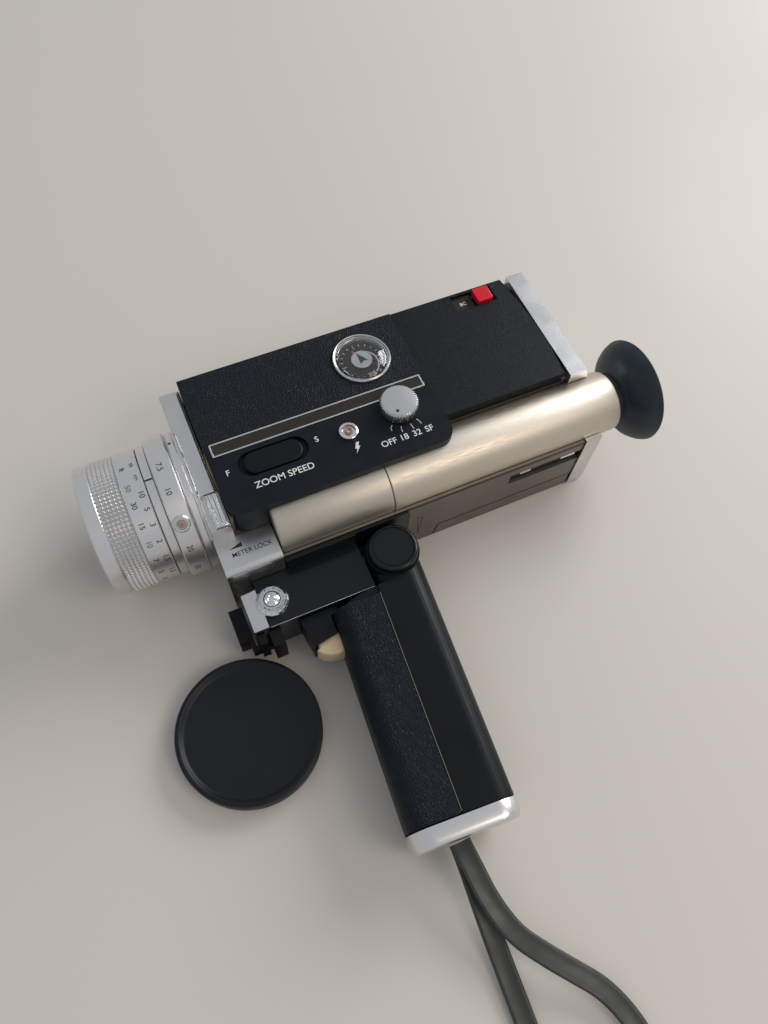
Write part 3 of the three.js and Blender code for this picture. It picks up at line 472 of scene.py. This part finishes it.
def letters(text, size):
    curve = bpy.data.curves.new("letters", "FONT")
    curve.body = text
    curve.size = size
    curve.align_x = "CENTER"
    curve.align_y = "CENTER"
    curve.extrude = LETTER_RELIEF
    curve.offset = LETTER_WEIGHT
    return mesh_of(curve)


def label(name, text, size, x, y, z, material, body, degrees=0):
    mesh = letters(text, size)
    mesh.transform(Matrix.Translation((x, y, z)) @ Matrix.Rotation(math.radians(degrees), 4, "Z"))
    return finish_piece(name, mesh, material, body)


def wrapped(mesh, along, degrees, radius):
    """Bends a flat drawing round the lens: its x runs round towards -Y and its y towards +X."""
    for vertex in mesh.vertices:
        x, y, z = vertex.co
        angle = math.radians(degrees) + x / radius
        vertex.co = on_axis("x", (LENS_Y, LENS_Z), along + y, radius + z, angle)


def lens_label(name, text, size, along, degrees, radius, material, body):
    mesh = letters(text, size)
    wrapped(mesh, along, degrees, radius)
    return finish_piece(name, mesh, material, body)


def lens_stroke(name, x0, x1, degrees, width, radius, material, body):
    mesh = flat_mesh([[(-width / 2, 0), (width / 2, 0), (width / 2, x1 - x0), (-width / 2, x1 - x0)]],
                     -0.03, 0.03, 0.005)
    wrapped(mesh, x0, degrees, radius)
    return finish_piece(name, mesh, material, body)


def line_outline(points, width):
    """The outline of a line of that width through the points."""
    left, right = [], []
    for i, (x, y) in enumerate(points):
        ax, ay = points[max(i - 1, 0)]
        bx, by = points[min(i + 1, len(points) - 1)]
        length = math.hypot(bx - ax, by - ay)
        nx, ny = -(by - ay) / length * width / 2, (bx - ax) / length * width / 2
        left.append((x + nx, y + ny))
        right.append((x - nx, y - ny))
    return left + right[::-1]


def stroke(name, points, width, z, material, body):
    """A thin painted line through points on a face."""
    outline = line_outline(points, width)
    return plate(name, [outline], z, z + 0.04, material, body, (), 0.005)


# ---------------------------------------------------------------- camera, light and floor


VIEW_PLACE = (-1.79, -176.92, 345.9)
VIEW_RIGHT = (0.9130, -0.4058, 0.0413)
VIEW_UP = (0.3458, 0.8238, 0.4493)
VIEW_BACK = (-0.2163, -0.3959, 0.8924)
VIEW_LENS_MM = 27.73
TABLE_SIZE = 6
TABLE_GAP = 0.0003


def add_camera():
    data = bpy.data.cameras.new("view")
    data.sensor_width = 36
    data.lens = VIEW_LENS_MM
    data.clip_start = 0.01
    camera = bpy.data.objects.new("view", data)
    turn = Matrix((VIEW_RIGHT, VIEW_UP, VIEW_BACK)).transposed().to_4x4()
    camera.matrix_world = Matrix.Translation(row(*VIEW_PLACE)) @ turn
    bpy.context.collection.objects.link(camera)
    bpy.context.scene.camera = camera


def add_light(name, size, power, place, target, color):
    data = bpy.data.lights.new(name, "AREA")
    data.shape = "RECTANGLE"
    data.size, data.size_y = size
    data.energy = power
    data.color = color
    lamp = bpy.data.objects.new(name, data)
    lamp.location = place
    lamp.rotation_euler = (Vector(target) - Vector(place)).to_track_quat("-Z", "Y").to_euler()
    bpy.context.collection.objects.link(lamp)


def add_stage():
    bpy.ops.mesh.primitive_plane_add(size=TABLE_SIZE, location=(0, 0, -TABLE_GAP))
    floor = bpy.context.object
    floor.name = "table"
    floor.data.materials.append(table_look())
    world = bpy.data.worlds.new("room")
    bpy.context.scene.world = world
    world.use_nodes = True
    background = world.node_tree.nodes["Background"]
    background.inputs["Color"].default_value = (0.90, 0.94, 1.0, 1)
    background.inputs["Strength"].default_value = 0.50
    add_light("window", size=(1.2, 0.9), power=25, place=(1.6, 0.55, 0.95), target=(0.05, 0, 0),
              color=(0.98, 0.98, 1.0))
    add_light("ceiling", size=(0.7, 0.7), power=6, place=(0.7, -0.9, 1.3), target=(0.1, 0, 0),
              color=(1.0, 0.86, 0.7))
    bpy.context.scene.view_settings.view_transform = "Standard"


# ---------------------------------------------------------------- strap

STRAP_ROUTE = [
    (46.9, -173.3, 18.1), (47.2, -179, 17.8), (47.8, -186, 16.6), (48.6, -194, 14.4),
    (50.6, -203, 12), (54, -212, 10.8), (60.5, -221.5, 10), (67.6, -230.5, 8.6),
    (73.2, -237.5, 7), (77, -244, 5.4), (80, -252, 3.9), (81.6, -260, 2.8), (82.6, -270, 2.2),
    (81.8, -282, 2), (77.4, -294, 2), (69, -303, 2), (58.6, -305.6, 2), (49.6, -300.6, 2),
    (44.6, -290, 2), (42.8, -277, 2), (42.8, -262, 2), (43.4, -248, 2), (44.2, -234, 2.4),
    (44.9, -220, 3.4), (45.5, -207, 5.4), (46.1, -195, 8.6), (46.6, -184, 12.4),
    (46.8, -177, 14.8), (46.9, -173.3, 15.4),
]
STRAP_WIDTH = 8.4
STRAP_THICK = 1.7


def spline_points(route, steps):
    """Points on a smooth curve through the route's points."""
    points = [Vector(p) for p in route]
    ends = [2 * points[0] - points[1]] + points + [2 * points[-1] - points[-2]]
    smooth = []
    for a, b, c, d in zip(ends, ends[1:], ends[2:], ends[3:]):
        for i in range(steps):
            t = i / steps
            smooth.append(0.5 * ((2 * b) + (c - a) * t + (2 * a - 5 * b + 4 * c - d) * t * t
                                 + (3 * b - a - 3 * c + d) * t ** 3))
    return smooth + [points[-1]]


def strap_section():
    """Half-round edges and a shallow groove along each face."""
    half, thick = STRAP_WIDTH / 2, STRAP_THICK / 2
    top = [(-half + thick, thick), (-half + 1.5, thick), (-half + 1.9, thick - 0.14),
           (half - 1.9, thick - 0.14), (half - 1.5, thick), (half - thick, thick)]
    edge = [(half - thick + thick * math.sin(a), thick * math.cos(a))
            for a in (0.5, 1.05, math.pi / 2, 2.1, 2.64)]
    bottom = [(x, -z) for x, z in reversed(top)]
    back = [(-x, z) for x, z in reversed(edge)]
    return top + edge + bottom + back


def add_strap():
    path = spline_points(STRAP_ROUTE, 8)
    section = strap_section()
    bm = bmesh.new()
    rings = []
    for i, point in enumerate(path):
        ahead = (path[min(i + 1, len(path) - 1)] - path[max(i - 1, 0)]).normalized()
        side = ahead.cross(Vector((0, 0, 1))).normalized()
        up = side.cross(ahead).normalized()
        rings.append([bm.verts.new(point + side * x + up * z) for x, z in section])
    skin_rings(bm, rings)
    strap = from_bmesh("wrist_strap", bm, VINYL, "battery_pack", ("strap",))


# ---------------------------------------------------------------- lens

LENS = (LENS_Y, LENS_Z)
KNURL_ROWS = 6
KNURL_COUNT = 100
TIP_START, TIP_END = 0.36, 0.64   # where a pyramid's flat tip lies across its cell
NEAR_ROW_X, FAR_ROW_X = -24.2, -19.9
FOCUS_SCALE_R, ZOOM_SCALE_R = 29.42, 31.85


def add_pyramids(bm, x0, x1, base, tip):
    """Rows of small pyramids round the focus ring."""
    width = (x1 - x0) / KNURL_ROWS
    step = 2 * math.pi / KNURL_COUNT
    corners = [[bm.verts.new(on_axis("x", LENS, x0 + i * width, base, j * step))
                for j in range(KNURL_COUNT)] for i in range(KNURL_ROWS + 1)]
    for i in range(KNURL_ROWS):
        for j in range(KNURL_COUNT):
            k = (j + 1) % KNURL_COUNT
            peak = []
            for du, dv in ((TIP_START, TIP_START), (TIP_END, TIP_START), (TIP_END, TIP_END),
                           (TIP_START, TIP_END)):
                place = on_axis("x", LENS, x0 + (i + du) * width, tip, (j + dv) * step)
                peak.append(bm.verts.new(place))
            foot = [corners[i][j], corners[i + 1][j], corners[i + 1][k], corners[i][k]]
            bm.faces.new(peak)
            for n in range(4):
                bm.faces.new([foot[n], foot[(n + 1) % 4], peak[(n + 1) % 4], peak[n]])


def add_focus_ring():
    bm = bmesh.new()
    profile = [(-44.5, 26.4), (-44.4, 28.3), (-43.8, 28.9), (-38.5, 29.0), (-38.1, 28.7), (-38.0, 28.5),
               (-37.9, 28.5), (-27.3, 28.5), (-27.2, 28.9), (-26.9, 29.35), (-17.9, 29.4),
               (-17.5, 29.0), (-17.5, 24.8), (-36.0, 24.8), (-36.0, 26.1), (-44.3, 26.1),
               (-44.5, 26.4)]
    add_turned(bm, profile, "x", LENS, 144)
    add_pyramids(bm, -37.9, -27.3, 28.55, 29.5)
    from_bmesh("focus_grip", bm, LENS_SILVER, "focus", ("focus_ring",), 24)
    turned("filter_thread", thread_profile(-43.9, -37.2, 26.1, 25.7, 0.75), "x", LENS, BLACK_PLASTIC,
           "focus", (), 96)
    front = [(-41.2, 25.6), (-40.4, 23.4), (-40.0, 22.2)]
    turned("front_retainer", front + [(-37.0, 22.2), (-37.0, 25.6), (-41.2, 25.6)], "x", LENS,
           BLACK_PLASTIC, "focus", (), 96)
    dome = [(-37.2, 0), (-37.2, 22.1), (-39.6, 22.1)]
    dome += [(-39.6 - 2.4 * (1 - (i / 10) ** 2), 22.1 * i / 10) for i in range(9, 0, -1)] + [(-42.0, 0)]
    turned("front_glass", dome, "x", LENS, GLASS, "focus", ("front_element",), 96)
    focus_marks()


def thread_profile(x0, x1, outer, inner, pitch):
    points = [(x0, outer)]
    count = int((x1 - x0) / pitch)
    for i in range(count):
        points += [(x0 + i * pitch + 0.05, inner + 0.3), (x0 + (i + 0.5) * pitch, inner)]
    return points + [(x1, inner + 0.3), (x1, outer), (x0, outer)]


def focus_marks():
    near = ((-16, "ft"), (4.0, "50"), (19.2, "30"), (36.2, "15"), (52.4, "10"), (68.8, "7"),
            (85, "5"), (101, "4"))
    far = ((-18, "m"), (-3.5, "∞"), (12.1, "10"), (25, "5"), (38, "3"), (52.6, "2"),
           (70, "1.5"), (88, "1.2"))
    for i, (angle, text) in enumerate(near):
        ink = GREEN_INK if i % 3 == 1 else BLACK_INK
        lens_label(f"near_scale_{i}", text, 3.2, NEAR_ROW_X, angle, FOCUS_SCALE_R, ink, "focus")
    for i, (angle, text) in enumerate(far):
        lens_label(f"far_scale_{i}", text, 3.2, FAR_ROW_X, angle, FOCUS_SCALE_R, BLACK_INK, "focus")


def add_zoom_ring():
    profile = [(-13.2, 24.8), (-13.2, 31.2), (-12.7, 31.8), (-9.0, 31.85), (-4.9, 31.8), (-4.4, 31.3),
               (-4.4, 24.8), (-13.2, 24.8)]
    turned("zoom_collar", profile, "x", LENS, LENS_SILVER, "zoom", ("zoom_ring",), 160)
    tilt = Matrix.Translation((-9.2, LENS_Y, LENS_Z)) @ Matrix.Rotation(math.radians(43.7), 4, "X")
    boss = [(30.9, 0.0), (30.9, 3.4), (31.2, 3.7), (32.3, 3.7), (32.9, 3.2), (32.9, 2.3), (32.4, 2.1),
            (32.4, 0.0)]
    stud = [(32.2, 0.0), (32.2, 1.9), (32.7, 1.7), (32.8, 0.5), (32.55, 0.4), (32.5, 0.0)]
    for name, profile, look in (("zoom_boss", boss, SILVER), ("zoom_boss_screw", stud, RUST)):
        bm = bmesh.new()
        add_turned(bm, profile, "z", (0, 0), 40)
        bm.transform(tilt)
        from_bmesh(name, bm, look, "zoom")
    for i, (angle, text) in enumerate(((-2.5, "7.5"), (18.3, "10"), (65.6, "20"), (90, "50"))):
        lens_label(f"zoom_scale_{i}", text, 3.4, -9.6, angle, ZOOM_SCALE_R, BLACK_INK, "zoom")


def add_barrel():
    profile = [(-33, 22.4), (-33, 24.5), (-17.2, 24.5), (-17.2, 28.6), (-17.0, 29.3), (-13.8, 29.4),
               (-13.5, 29.1), (-13.5, 24.5), (0, 24.5), (0, 22.4), (-33, 22.4)]
    turned("lens_tube", profile, "x", LENS, LENS_SILVER, "camera_body",
           ("lens_barrel",), 160)
    lens_stroke("focus_index", -17.0, -13.7, 2.3, 0.7, 29.43, BLACK_INK, "camera_body")
    mesh = flat_mesh([ring_outline(0, 0, 0.75, 24)], -0.03, 0.03, 0.005)
    wrapped(mesh, -2.6, -24.3, 31.13)
    finish_piece("zoom_index_dot", mesh, BLACK_INK, "camera_body")
    seat = [(-4.0, 25.2), (-4.0, 30.6), (-3.5, 31.1), (-1.1, 31.1), (-0.75, 30.7), (-0.75, 30.4),
            (0.4, 30.4), (0.4, 25.2), (-4.0, 25.2)]
    turned("lens_seat", seat, "x", LENS, LENS_SILVER, "camera_body", (), 160)


# ---------------------------------------------------------------- finder tube and eyecup


def add_finder():
    centre = (TUBE_Y, TUBE_Z)
    r = TUBE_R
    nose = [(25.5, 0), (25.5, r - 0.9), (25.9, r - 0.35), (26.6, r), (76.9, r), (77.1, r - 0.25),
            (77.1, TUBE_BORE), (28, TUBE_BORE), (28, 0)]
    turned("finder_front_tube", nose, "x", centre, CHAMPAGNE, "camera_body",
           ("finder_nose",), 128)
    main = [(77.4, TUBE_BORE), (77.4, r - 0.25), (77.7, r), (190.4, r), (191.2, r - 0.3),
            (191.5, r - 0.9), (191.5, TUBE_BORE), (77.4, TUBE_BORE)]
    turned("finder_rear_tube", main, "x", centre, CHAMPAGNE, "camera_body",
           ("finder_tube",), 128)
    cup = [(192, 10.6), (192, 12.3), (192.6, 12.9), (194.6, 12.5), (195.6, 11.9), (196.6, 13.0),
           (197.4, 15.4), (199, 18.6), (201.4, 21.6), (204.2, 23.6), (206.4, 24.5), (207, 24.2),
           (207, 23.4), (204.6, 22.3), (201.9, 20.2), (199.6, 17.2), (198.1, 13.6), (196.9, 11.2),
           (196.3, 10.6), (192, 10.6)]
    turned("soft_eyecup", cup, "x", centre, RUBBER, "dioptre", ("eyecup",), 128)
    ring = [(176, 9.4), (176, 12), (191.7, 12), (191.7, 10.3), (196, 10.3), (196.2, 9.8), (196, 9.4),
            (176, 9.4)]
    turned("eyepiece_mount", ring, "x", centre, BLACK_PLASTIC, "dioptre",
           ("eyepiece_ring",), 96)
    glass = [(186, 0), (186.5, 5), (187.6, 9.2), (192, 9.2)]
    glass += [(192 + 1.4 * (1 - (i / 8) ** 2), 9.2 * i / 8) for i in range(7, 0, -1)] + [(193.4, 0)]
    turned("eyepiece_glass", glass, "x", centre, GLASS, "dioptre", ("eyepiece_lens",), 96)


# ---------------------------------------------------------------- left side controls


def add_counter():
    x, y = COUNTER
    bezel = [(57.3, 11.6), (57.3, 13.3), (60.5, 13.35), (61.0, 13.1), (61.3, 12.7), (61.1, 12.3),
             (60.4, 12.1), (60.3, 11.6), (57.3, 11.6)]
    turned("counter_rim", bezel, "z", COUNTER, SILVER, "camera_body", ("counter_bezel",), 96)
    dome = [(60.3, 11.4), (60.9, 11.3), (61.9, 9.8), (62.5, 7.4), (62.9, 4.2), (63.1, 0), (62.6, 0),
            (62.4, 4.1), (62.0, 7.2), (61.4, 9.5), (60.3, 10.7), (60.3, 11.4)]
    turned("counter_dome", dome, "z", COUNTER, WINDOW, "camera_body", ("counter_window",), 96)
    turned("counter_face", [(57.2, 0), (57.2, 11.4), (57.6, 11.4), (57.6, 0)], "z", COUNTER, DARK_BROWN,
           "camera_body", (), 64)
    for i in range(20):
        angle = math.radians(18 * i + 4)
        inner = 8.6 if i % 5 else 7.6
        ends = [(x + r * math.cos(angle), y + r * math.sin(angle)) for r in (inner, 9.9)]
        stroke(f"counter_tick_{i}", ends, 0.4, 57.62, WHITE_INK, "camera_body")
    for name, start, sweep, r0, r1 in (("outer", 190, 100, 9.4, 9.9), ("inner", -62, 135, 8.8, 5.2)):
        arc = []
        for i in range(25):
            angle = math.radians(start + sweep * i / 24)
            radius = r0 + (r1 - r0) * i / 24
            arc.append((x + radius * math.cos(angle), y + radius * math.sin(angle)))
        stroke(f"counter_arc_{name}", arc, 0.7, 57.66, WHITE_INK, "camera_body")
    index = [(x + r * math.cos(1.83), y + r * math.sin(1.83)) for r in (5.3, 7.2)]
    stroke("counter_index", index, 0.8, 57.7, ORANGE_INK, "camera_body")
    hub = [(55, 0), (55, 1.2), (58.2, 1.2), (58.2, 4.6), (58.4, 4.8), (59.4, 4.8), (59.6, 4.6), (59.6, 0)]
    turned("counter_disc", hub, "z", COUNTER, SILVER, "counter", ("counter_hub",), 64)
    arrow = [(0, 4.2), (-2.0, -2.2), (0, -1.3), (2.0, -2.2)]
    turn = Matrix.Translation((x, y, 0)) @ Matrix.Rotation(math.radians(16), 4, "Z")
    plate("counter_arrow", [arrow[::-1]], 59.6, 59.66, BLACK_INK, "counter", (), 0.01, turn)


KNOB_SIDES = 168
KNOB_FLUTES_FROM = 7.6
KNOB_FLUTE_DEPTH = 0.42


def add_mode_knob():
    x, y = KNOB
    bm = bmesh.new()
    profile = [(60.3, 0), (60.3, 8.5), (60.6, 8.7), (64.6, 8.7), (65.4, 8.3), (65.95, 7.7), (66.05, 7.5),
               (66.1, 0)]
    add_turned(bm, profile, "z", KNOB, KNOB_SIDES)
    for vertex in bm.verts:
        dx, dy = vertex.co.x - x, vertex.co.y - y
        radius = math.hypot(dx, dy)
        if radius > KNOB_FLUTES_FROM:
            tooth = round(math.atan2(dy, dx) / (2 * math.pi) * KNOB_SIDES) % 4
            scale = 1 - (KNOB_FLUTE_DEPTH if tooth in (0, 1) else 0) / radius
            vertex.co.x, vertex.co.y = x + dx * scale, y + dy * scale
    from_bmesh("mode_dial_cap", bm, SILVER, "mode_dial", ("mode_knob",), 30)
    angle = math.radians(-122)
    dot = ring_outline(x + 5.6 * math.cos(angle), y + 5.6 * math.sin(angle), 0.75, 24)
    plate("mode_dot", [dot], 66.08, 66.16, BLACK_INK, "mode_dial", (), 0.02)
    marks = ((-132, -1.2, "OFF", -5.2), (-108, 0.0, "18", -0.8), (-82, 1.0, "32", 0.8),
             (-60, 1.8, "SF", 3.4))
    for degrees, bend, text, shift in marks:
        a = math.radians(degrees)
        start = (x + 9.4 * math.cos(a), y + 9.4 * math.sin(a))
        knee = (x + 11.0 * math.cos(a), y + 11.0 * math.sin(a))
        end = (knee[0] + 0.2 * bend, knee[1] - 1.5)
        stroke(f"mode_tick_{text}", [start, knee, end], 0.26, PANEL_TOP + 0.01, WHITE_INK, "camera_body")
        label(f"mode_label_{text}", text, 4.1, knee[0] + shift * 0.7, y - 14.6, PANEL_INK_Z,
              WHITE_INK, "camera_body")


def add_panel_details():
    x, y = JACK
    nut = [(60.0, 0), (60.0, 4.2), (60.3, 4.3), (61.5, 4.1), (61.9, 3.5), (61.9, 2.9), (61.5, 2.7),
           (60.9, 2.5), (60.9, 0)]
    turned("jack_nut", nut, "z", JACK, POLISHED, "camera_body", ("release_jack",), 64)
    turned("jack_sleeve", [(60.8, 0.9), (60.8, 1.9), (61.7, 1.8), (61.8, 1.3), (61.7, 0.9), (60.8, 0.9)],
           "z", JACK, RUST, "camera_body", (), 48)
    bolt = [(-0.2, 3.0), (1.1, 3.0), (0.4, 1.0), (1.3, 1.0), (-0.9, -2.6), (-0.2, -0.2), (-1.1, -0.2)]
    turn = Matrix.Translation((x + 0.6, y - 8.6, 0)) @ Matrix.Rotation(math.radians(-12), 4, "Z")
    plate("flash_symbol", [bolt], PANEL_TOP, PANEL_TOP + 0.06, WHITE_INK, "camera_body",
          (), 0.01, turn)
    sx, sy = SLIDER
    words = (("fast", "F", -20.2, -0.8, 3.8), ("slow", "S", 19.6, 0.6, 3.8),
             ("zoom", "ZOOM SPEED", 1.2, -10.6, 4.3))
    for name, text, dx, dy, size in words:
        label(f"speed_label_{name}", text, size, sx + dx, sy + dy, PANEL_INK_Z, WHITE_INK,
              "camera_body")
    plate("zoom_speed_pad", [rounded(sx - 13, sx + 13, sy - 5.2, sy + 5.2, 5.1)], 58.3, 60.4,
          BLACK_PLASTIC, "zoom_switch", ("zoom_slider",), 0.8)
    frame_outlines = [rounded(11.9, 109.7, 0.3, 6.9, 0.4), rounded(12.6, 109.0, 1.0, 6.2, 0.2)]
    plate("bar_frame", frame_outlines, 59.5, 60.16, SILVER, "camera_body", ("name_bar",),
          0.08)
    plate("bar_inlay", [rounded(12.5, 109.1, 0.9, 6.3, 0.2)], 59.3, 59.86, DARK_BROWN, "camera_body",
          (), 0.03)


def add_battery_check():
    plate("check_key", [rounded(153.4, 161.4, 33.6, 41.4, 0.9)], 57.7, 61.2, RED, "battery_check",
          ("battery_check_button",), 0.45)
    plate("check_floor", [rounded(142.7, 152.8, 33.2, 41.8, 0.3)], 57.0, 57.5, DARK_BROWN, "camera_body",
          (), 0.05)
    label("check_label", "BC", 2.6, 147.6, 37.4, 57.55, WHITE_INK, "camera_body")


def add_lock_slider():
    ribs = [(3.0, 8.6, -28.4, -12.4, 53, 55)]
    ribs += [(x, x + 1.0, -27.8, -13, 54.6, 55.8) for x in (3.5, 5.3, 7.1)]
    blocks("lock_slider_ribs", ribs, POLISHED, "meter_lock", ("meter_lock_slider",), 0.3)
    arrow = [(5.0, -34.4), (10.6, -32.5), (10.6, -34.6)]
    plate("lock_arrow", [arrow[::-1]], 44.0, 44.06, BLACK_INK, "camera_body", (), 0.01)
    label("lock_label", "METER LOCK", 2.95, 13.9, -37.4, 44.03, BLACK_INK, "camera_body")


# ---------------------------------------------------------------- grip


def add_arm_details():
    knob = [(33, 0), (33, 10.7), (33.3, 11), (35.4, 11), (36.1, 10.6), (36.5, 9.9), (36.5, 9.3),
            (36.1, 9.1), (36.1, 8.8), (36.4, 8.6), (36.45, 0)]
    turned("pivot_cap", knob, "z", PIVOT, BLACK_PAINT, "camera_body", ("pivot_bolt",), 96)
    collar = [(29.9, 3.8), (29.9, 7.0), (30.6, 7.1), (31.6, 6.8), (32.6, 6.0), (33.2, 5.2), (33.2, 4.5),
              (32.7, 4.2), (32.7, 3.8), (29.9, 3.8)]
    turned("socket_collar", collar, "z", SOCKET, POLISHED, "camera_body", (), 80)
    button = [(27, 0), (27, 3.4), (33.0, 3.4)]
    button += [(33.35, 3.2), (33.55, 2.8), (33.45, 2.55), (33.65, 2.3), (33.75, 1.7), (33.65, 1.5),
               (33.8, 1.2), (33.85, 0)]
    turned("socket_button", button, "z", SOCKET, POLISHED, "release", ("release_button",), 64)


def grip_loft(name, levels, outline, material, body, replaced):
    """Rings of the same outline at several heights down the grip, leaned with it."""
    cx = sum(x for x, z in outline) / len(outline)
    cz = sum(z for x, z in outline) / len(outline)
    bm = bmesh.new()
    rings = []
    for height, inset in levels:
        ring = []
        for x, z in outline:
            reach = math.hypot(x - cx, z - cz)
            scale = (reach - inset) / reach
            ring.append(bm.verts.new((cx + (x - cx) * scale, height, cz + (z - cz) * scale)))
        rings.append(ring)
    skin_rings(bm, rings)
    bm.transform(leaned())
    return from_bmesh(name, bm, material, body, replaced, 30)


def add_grip_cap():
    outline = rounded(-33.5, 11.4, 2.7, 32.9, 9.4, 12)
    levels = [(-109.9, 0.6), (-110.1, 0.15), (-110.6, 0), (-114.8, 0), (-116.4, 0.5), (-117.3, 1.3),
              (-117.6, 2.2)]
    grip_loft("base_cap", levels, outline, LENS_SILVER, "battery_pack", ("battery_cap",))


def add_seam_line():
    bm = bmesh.new()
    add_block(bm, -11.8, -11.5, -108.8, -16.5, 32.3, 32.72)
    bm.transform(leaned())
    from_bmesh("grip_seam_line", bm, GREY_METAL, "handle")


def add_underside_details():
    upright = Matrix.Translation((0, -43.5, 0)) @ Matrix.Rotation(math.radians(90), 4, "X")
    corners = [(88.7, 25.5), (91.4, 24.5), (90.2, 8.3), (88.7, 25.5)]
    for i, ends in enumerate(zip(corners, corners[1:])):
        plate(f"film_plane_mark_{i}", [line_outline(ends, 0.3)], 0.0, 0.05, DARK_BROWN, "camera_body",
              (), 0.01, upright)
    springs = [(141.4, 147.4, -42.7, -41.7, 28.2, 30.2), (163.4, 171.2, -42.7, -41.7, 28.0, 30.0)]
    blocks("slot_springs", springs, POLISHED, "camera_body", (), 0.3)
    blocks("slot_floor", [(135.8, 173.2, -41.9, -41.52, 24.6, 31.8)], BLACK_PLASTIC, "camera_body",
           (), 0.05)
    # The first strip is painted shadow: a black band along the crevice between the finder tube and the
    # underside. The second widens the black plate on the underside further from the tube.
    shadow_and_plate_strips = [(25.4, 173.0, -43.66, -43.45, 36.6, 38.58), (57.2, 84.0, -44.35, -43.52, 12.0, 33.2)]
    blocks("tube_shadow_and_plate_strip", shadow_and_plate_strips, BLACK_PAINT, "camera_body", (), 0.06)
    blocks("door_seam", [(101.4, 172.4, -43.6, -43.46, 9.5, 9.95)], BLACK_PLASTIC, "camera_body",
           (), 0.02)
    # A silver strip along the arm's lower edge: partly worn paint showing bare metal, partly a painted
    # highlight along that edge.
    blocks("arm_edge_wear_and_highlight", [(9.8, 56.8, -67.62, -67.4, 29.3, 29.66)], SILVER, "camera_body",
           (), 0.05)


def add_trigger():
    outline = [(25.3, -80.2), (25.3, -81.6), (24.2, -82.4), (25.6, -84.6), (28.4, -86.2), (31.4, -87.1),
               (36.4, -87.2), (36.4, -78.3), (34, -78.3)]
    plate("trigger_blade", [outline], 12, 23.6, CREAM, "trigger_key", ("trigger",), 0.9)


# ---------------------------------------------------------------- lens cap


def add_cap():
    r = CAP_R
    profile = [(0, r - 1.4), (0, r - 0.3), (0.4, r), (7.9, r), (8.7, r - 0.4), (9.0, r - 1.1),
               (8.9, r - 1.9), (8.3, r - 2.7), (7.5, r - 3.5), (7.3, r - 4.4), (7.3, 0), (6.4, 0),
               (6.4, r - 1.6), (0.3, r - 1.4), (0, r - 1.4)]
    turned("push_on_cap", profile, "z", CAP, CAP_PLASTIC, "loose_cap",
           ("lens_cap",), 160)


# ---------------------------------------------------------------- the CAD nodes that stay

EDGE_WIDTH = {
    "front_housing": 0.9, "body_shell": 0.5, "left_front_panel": 0.45, "left_rear_cover": 0.45,
    "rear_plate": 0.7, "film_door": 0.5, "right_cover": 0.3, "grip_arm": 0.6, "arm_end_plate": 0.6,
    "fold_latch": 0.9, "trigger_housing": 1.1, "handle_shell": 0.5, "handle_leather": 0.4,
    "door_latch": 0.25, "battery_cap": 0.6,
}
OWN_LOOKS = {
    "left_front_panel": PANEL_SKIN, "handle_leather": GRIP_SKIN, "left_rear_cover": REAR_SKIN,
    "arm_end_plate": SILVER, "handle_shell": BLACK_PLASTIC,
}


def dress_nodes():
    slots = {s["node"]: s["material_slot"] for s in frame["record"]["subparts"]}
    for name, node in frame["nodes"].items():
        node.data.materials.clear()
        node.data.materials.append(OWN_LOOKS.get(name, NODE_LOOKS[slots[name]]))
        node.data.polygons.foreach_set("use_smooth", [True] * len(node.data.polygons))
        node.data.set_sharp_from_angle(angle=math.radians(28))
        if name in EDGE_WIDTH:
            round_edges(node, EDGE_WIDTH[name])


# ---------------------------------------------------------------- assembly

add_camera()
add_strap()
add_stage()
add_focus_ring()
add_zoom_ring()
add_barrel()
add_finder()
add_counter()
add_mode_knob()
add_panel_details()
add_battery_check()
add_lock_slider()
add_arm_details()
add_grip_cap()
add_seam_line()
add_underside_details()
add_trigger()
add_cap()
dress_nodes()
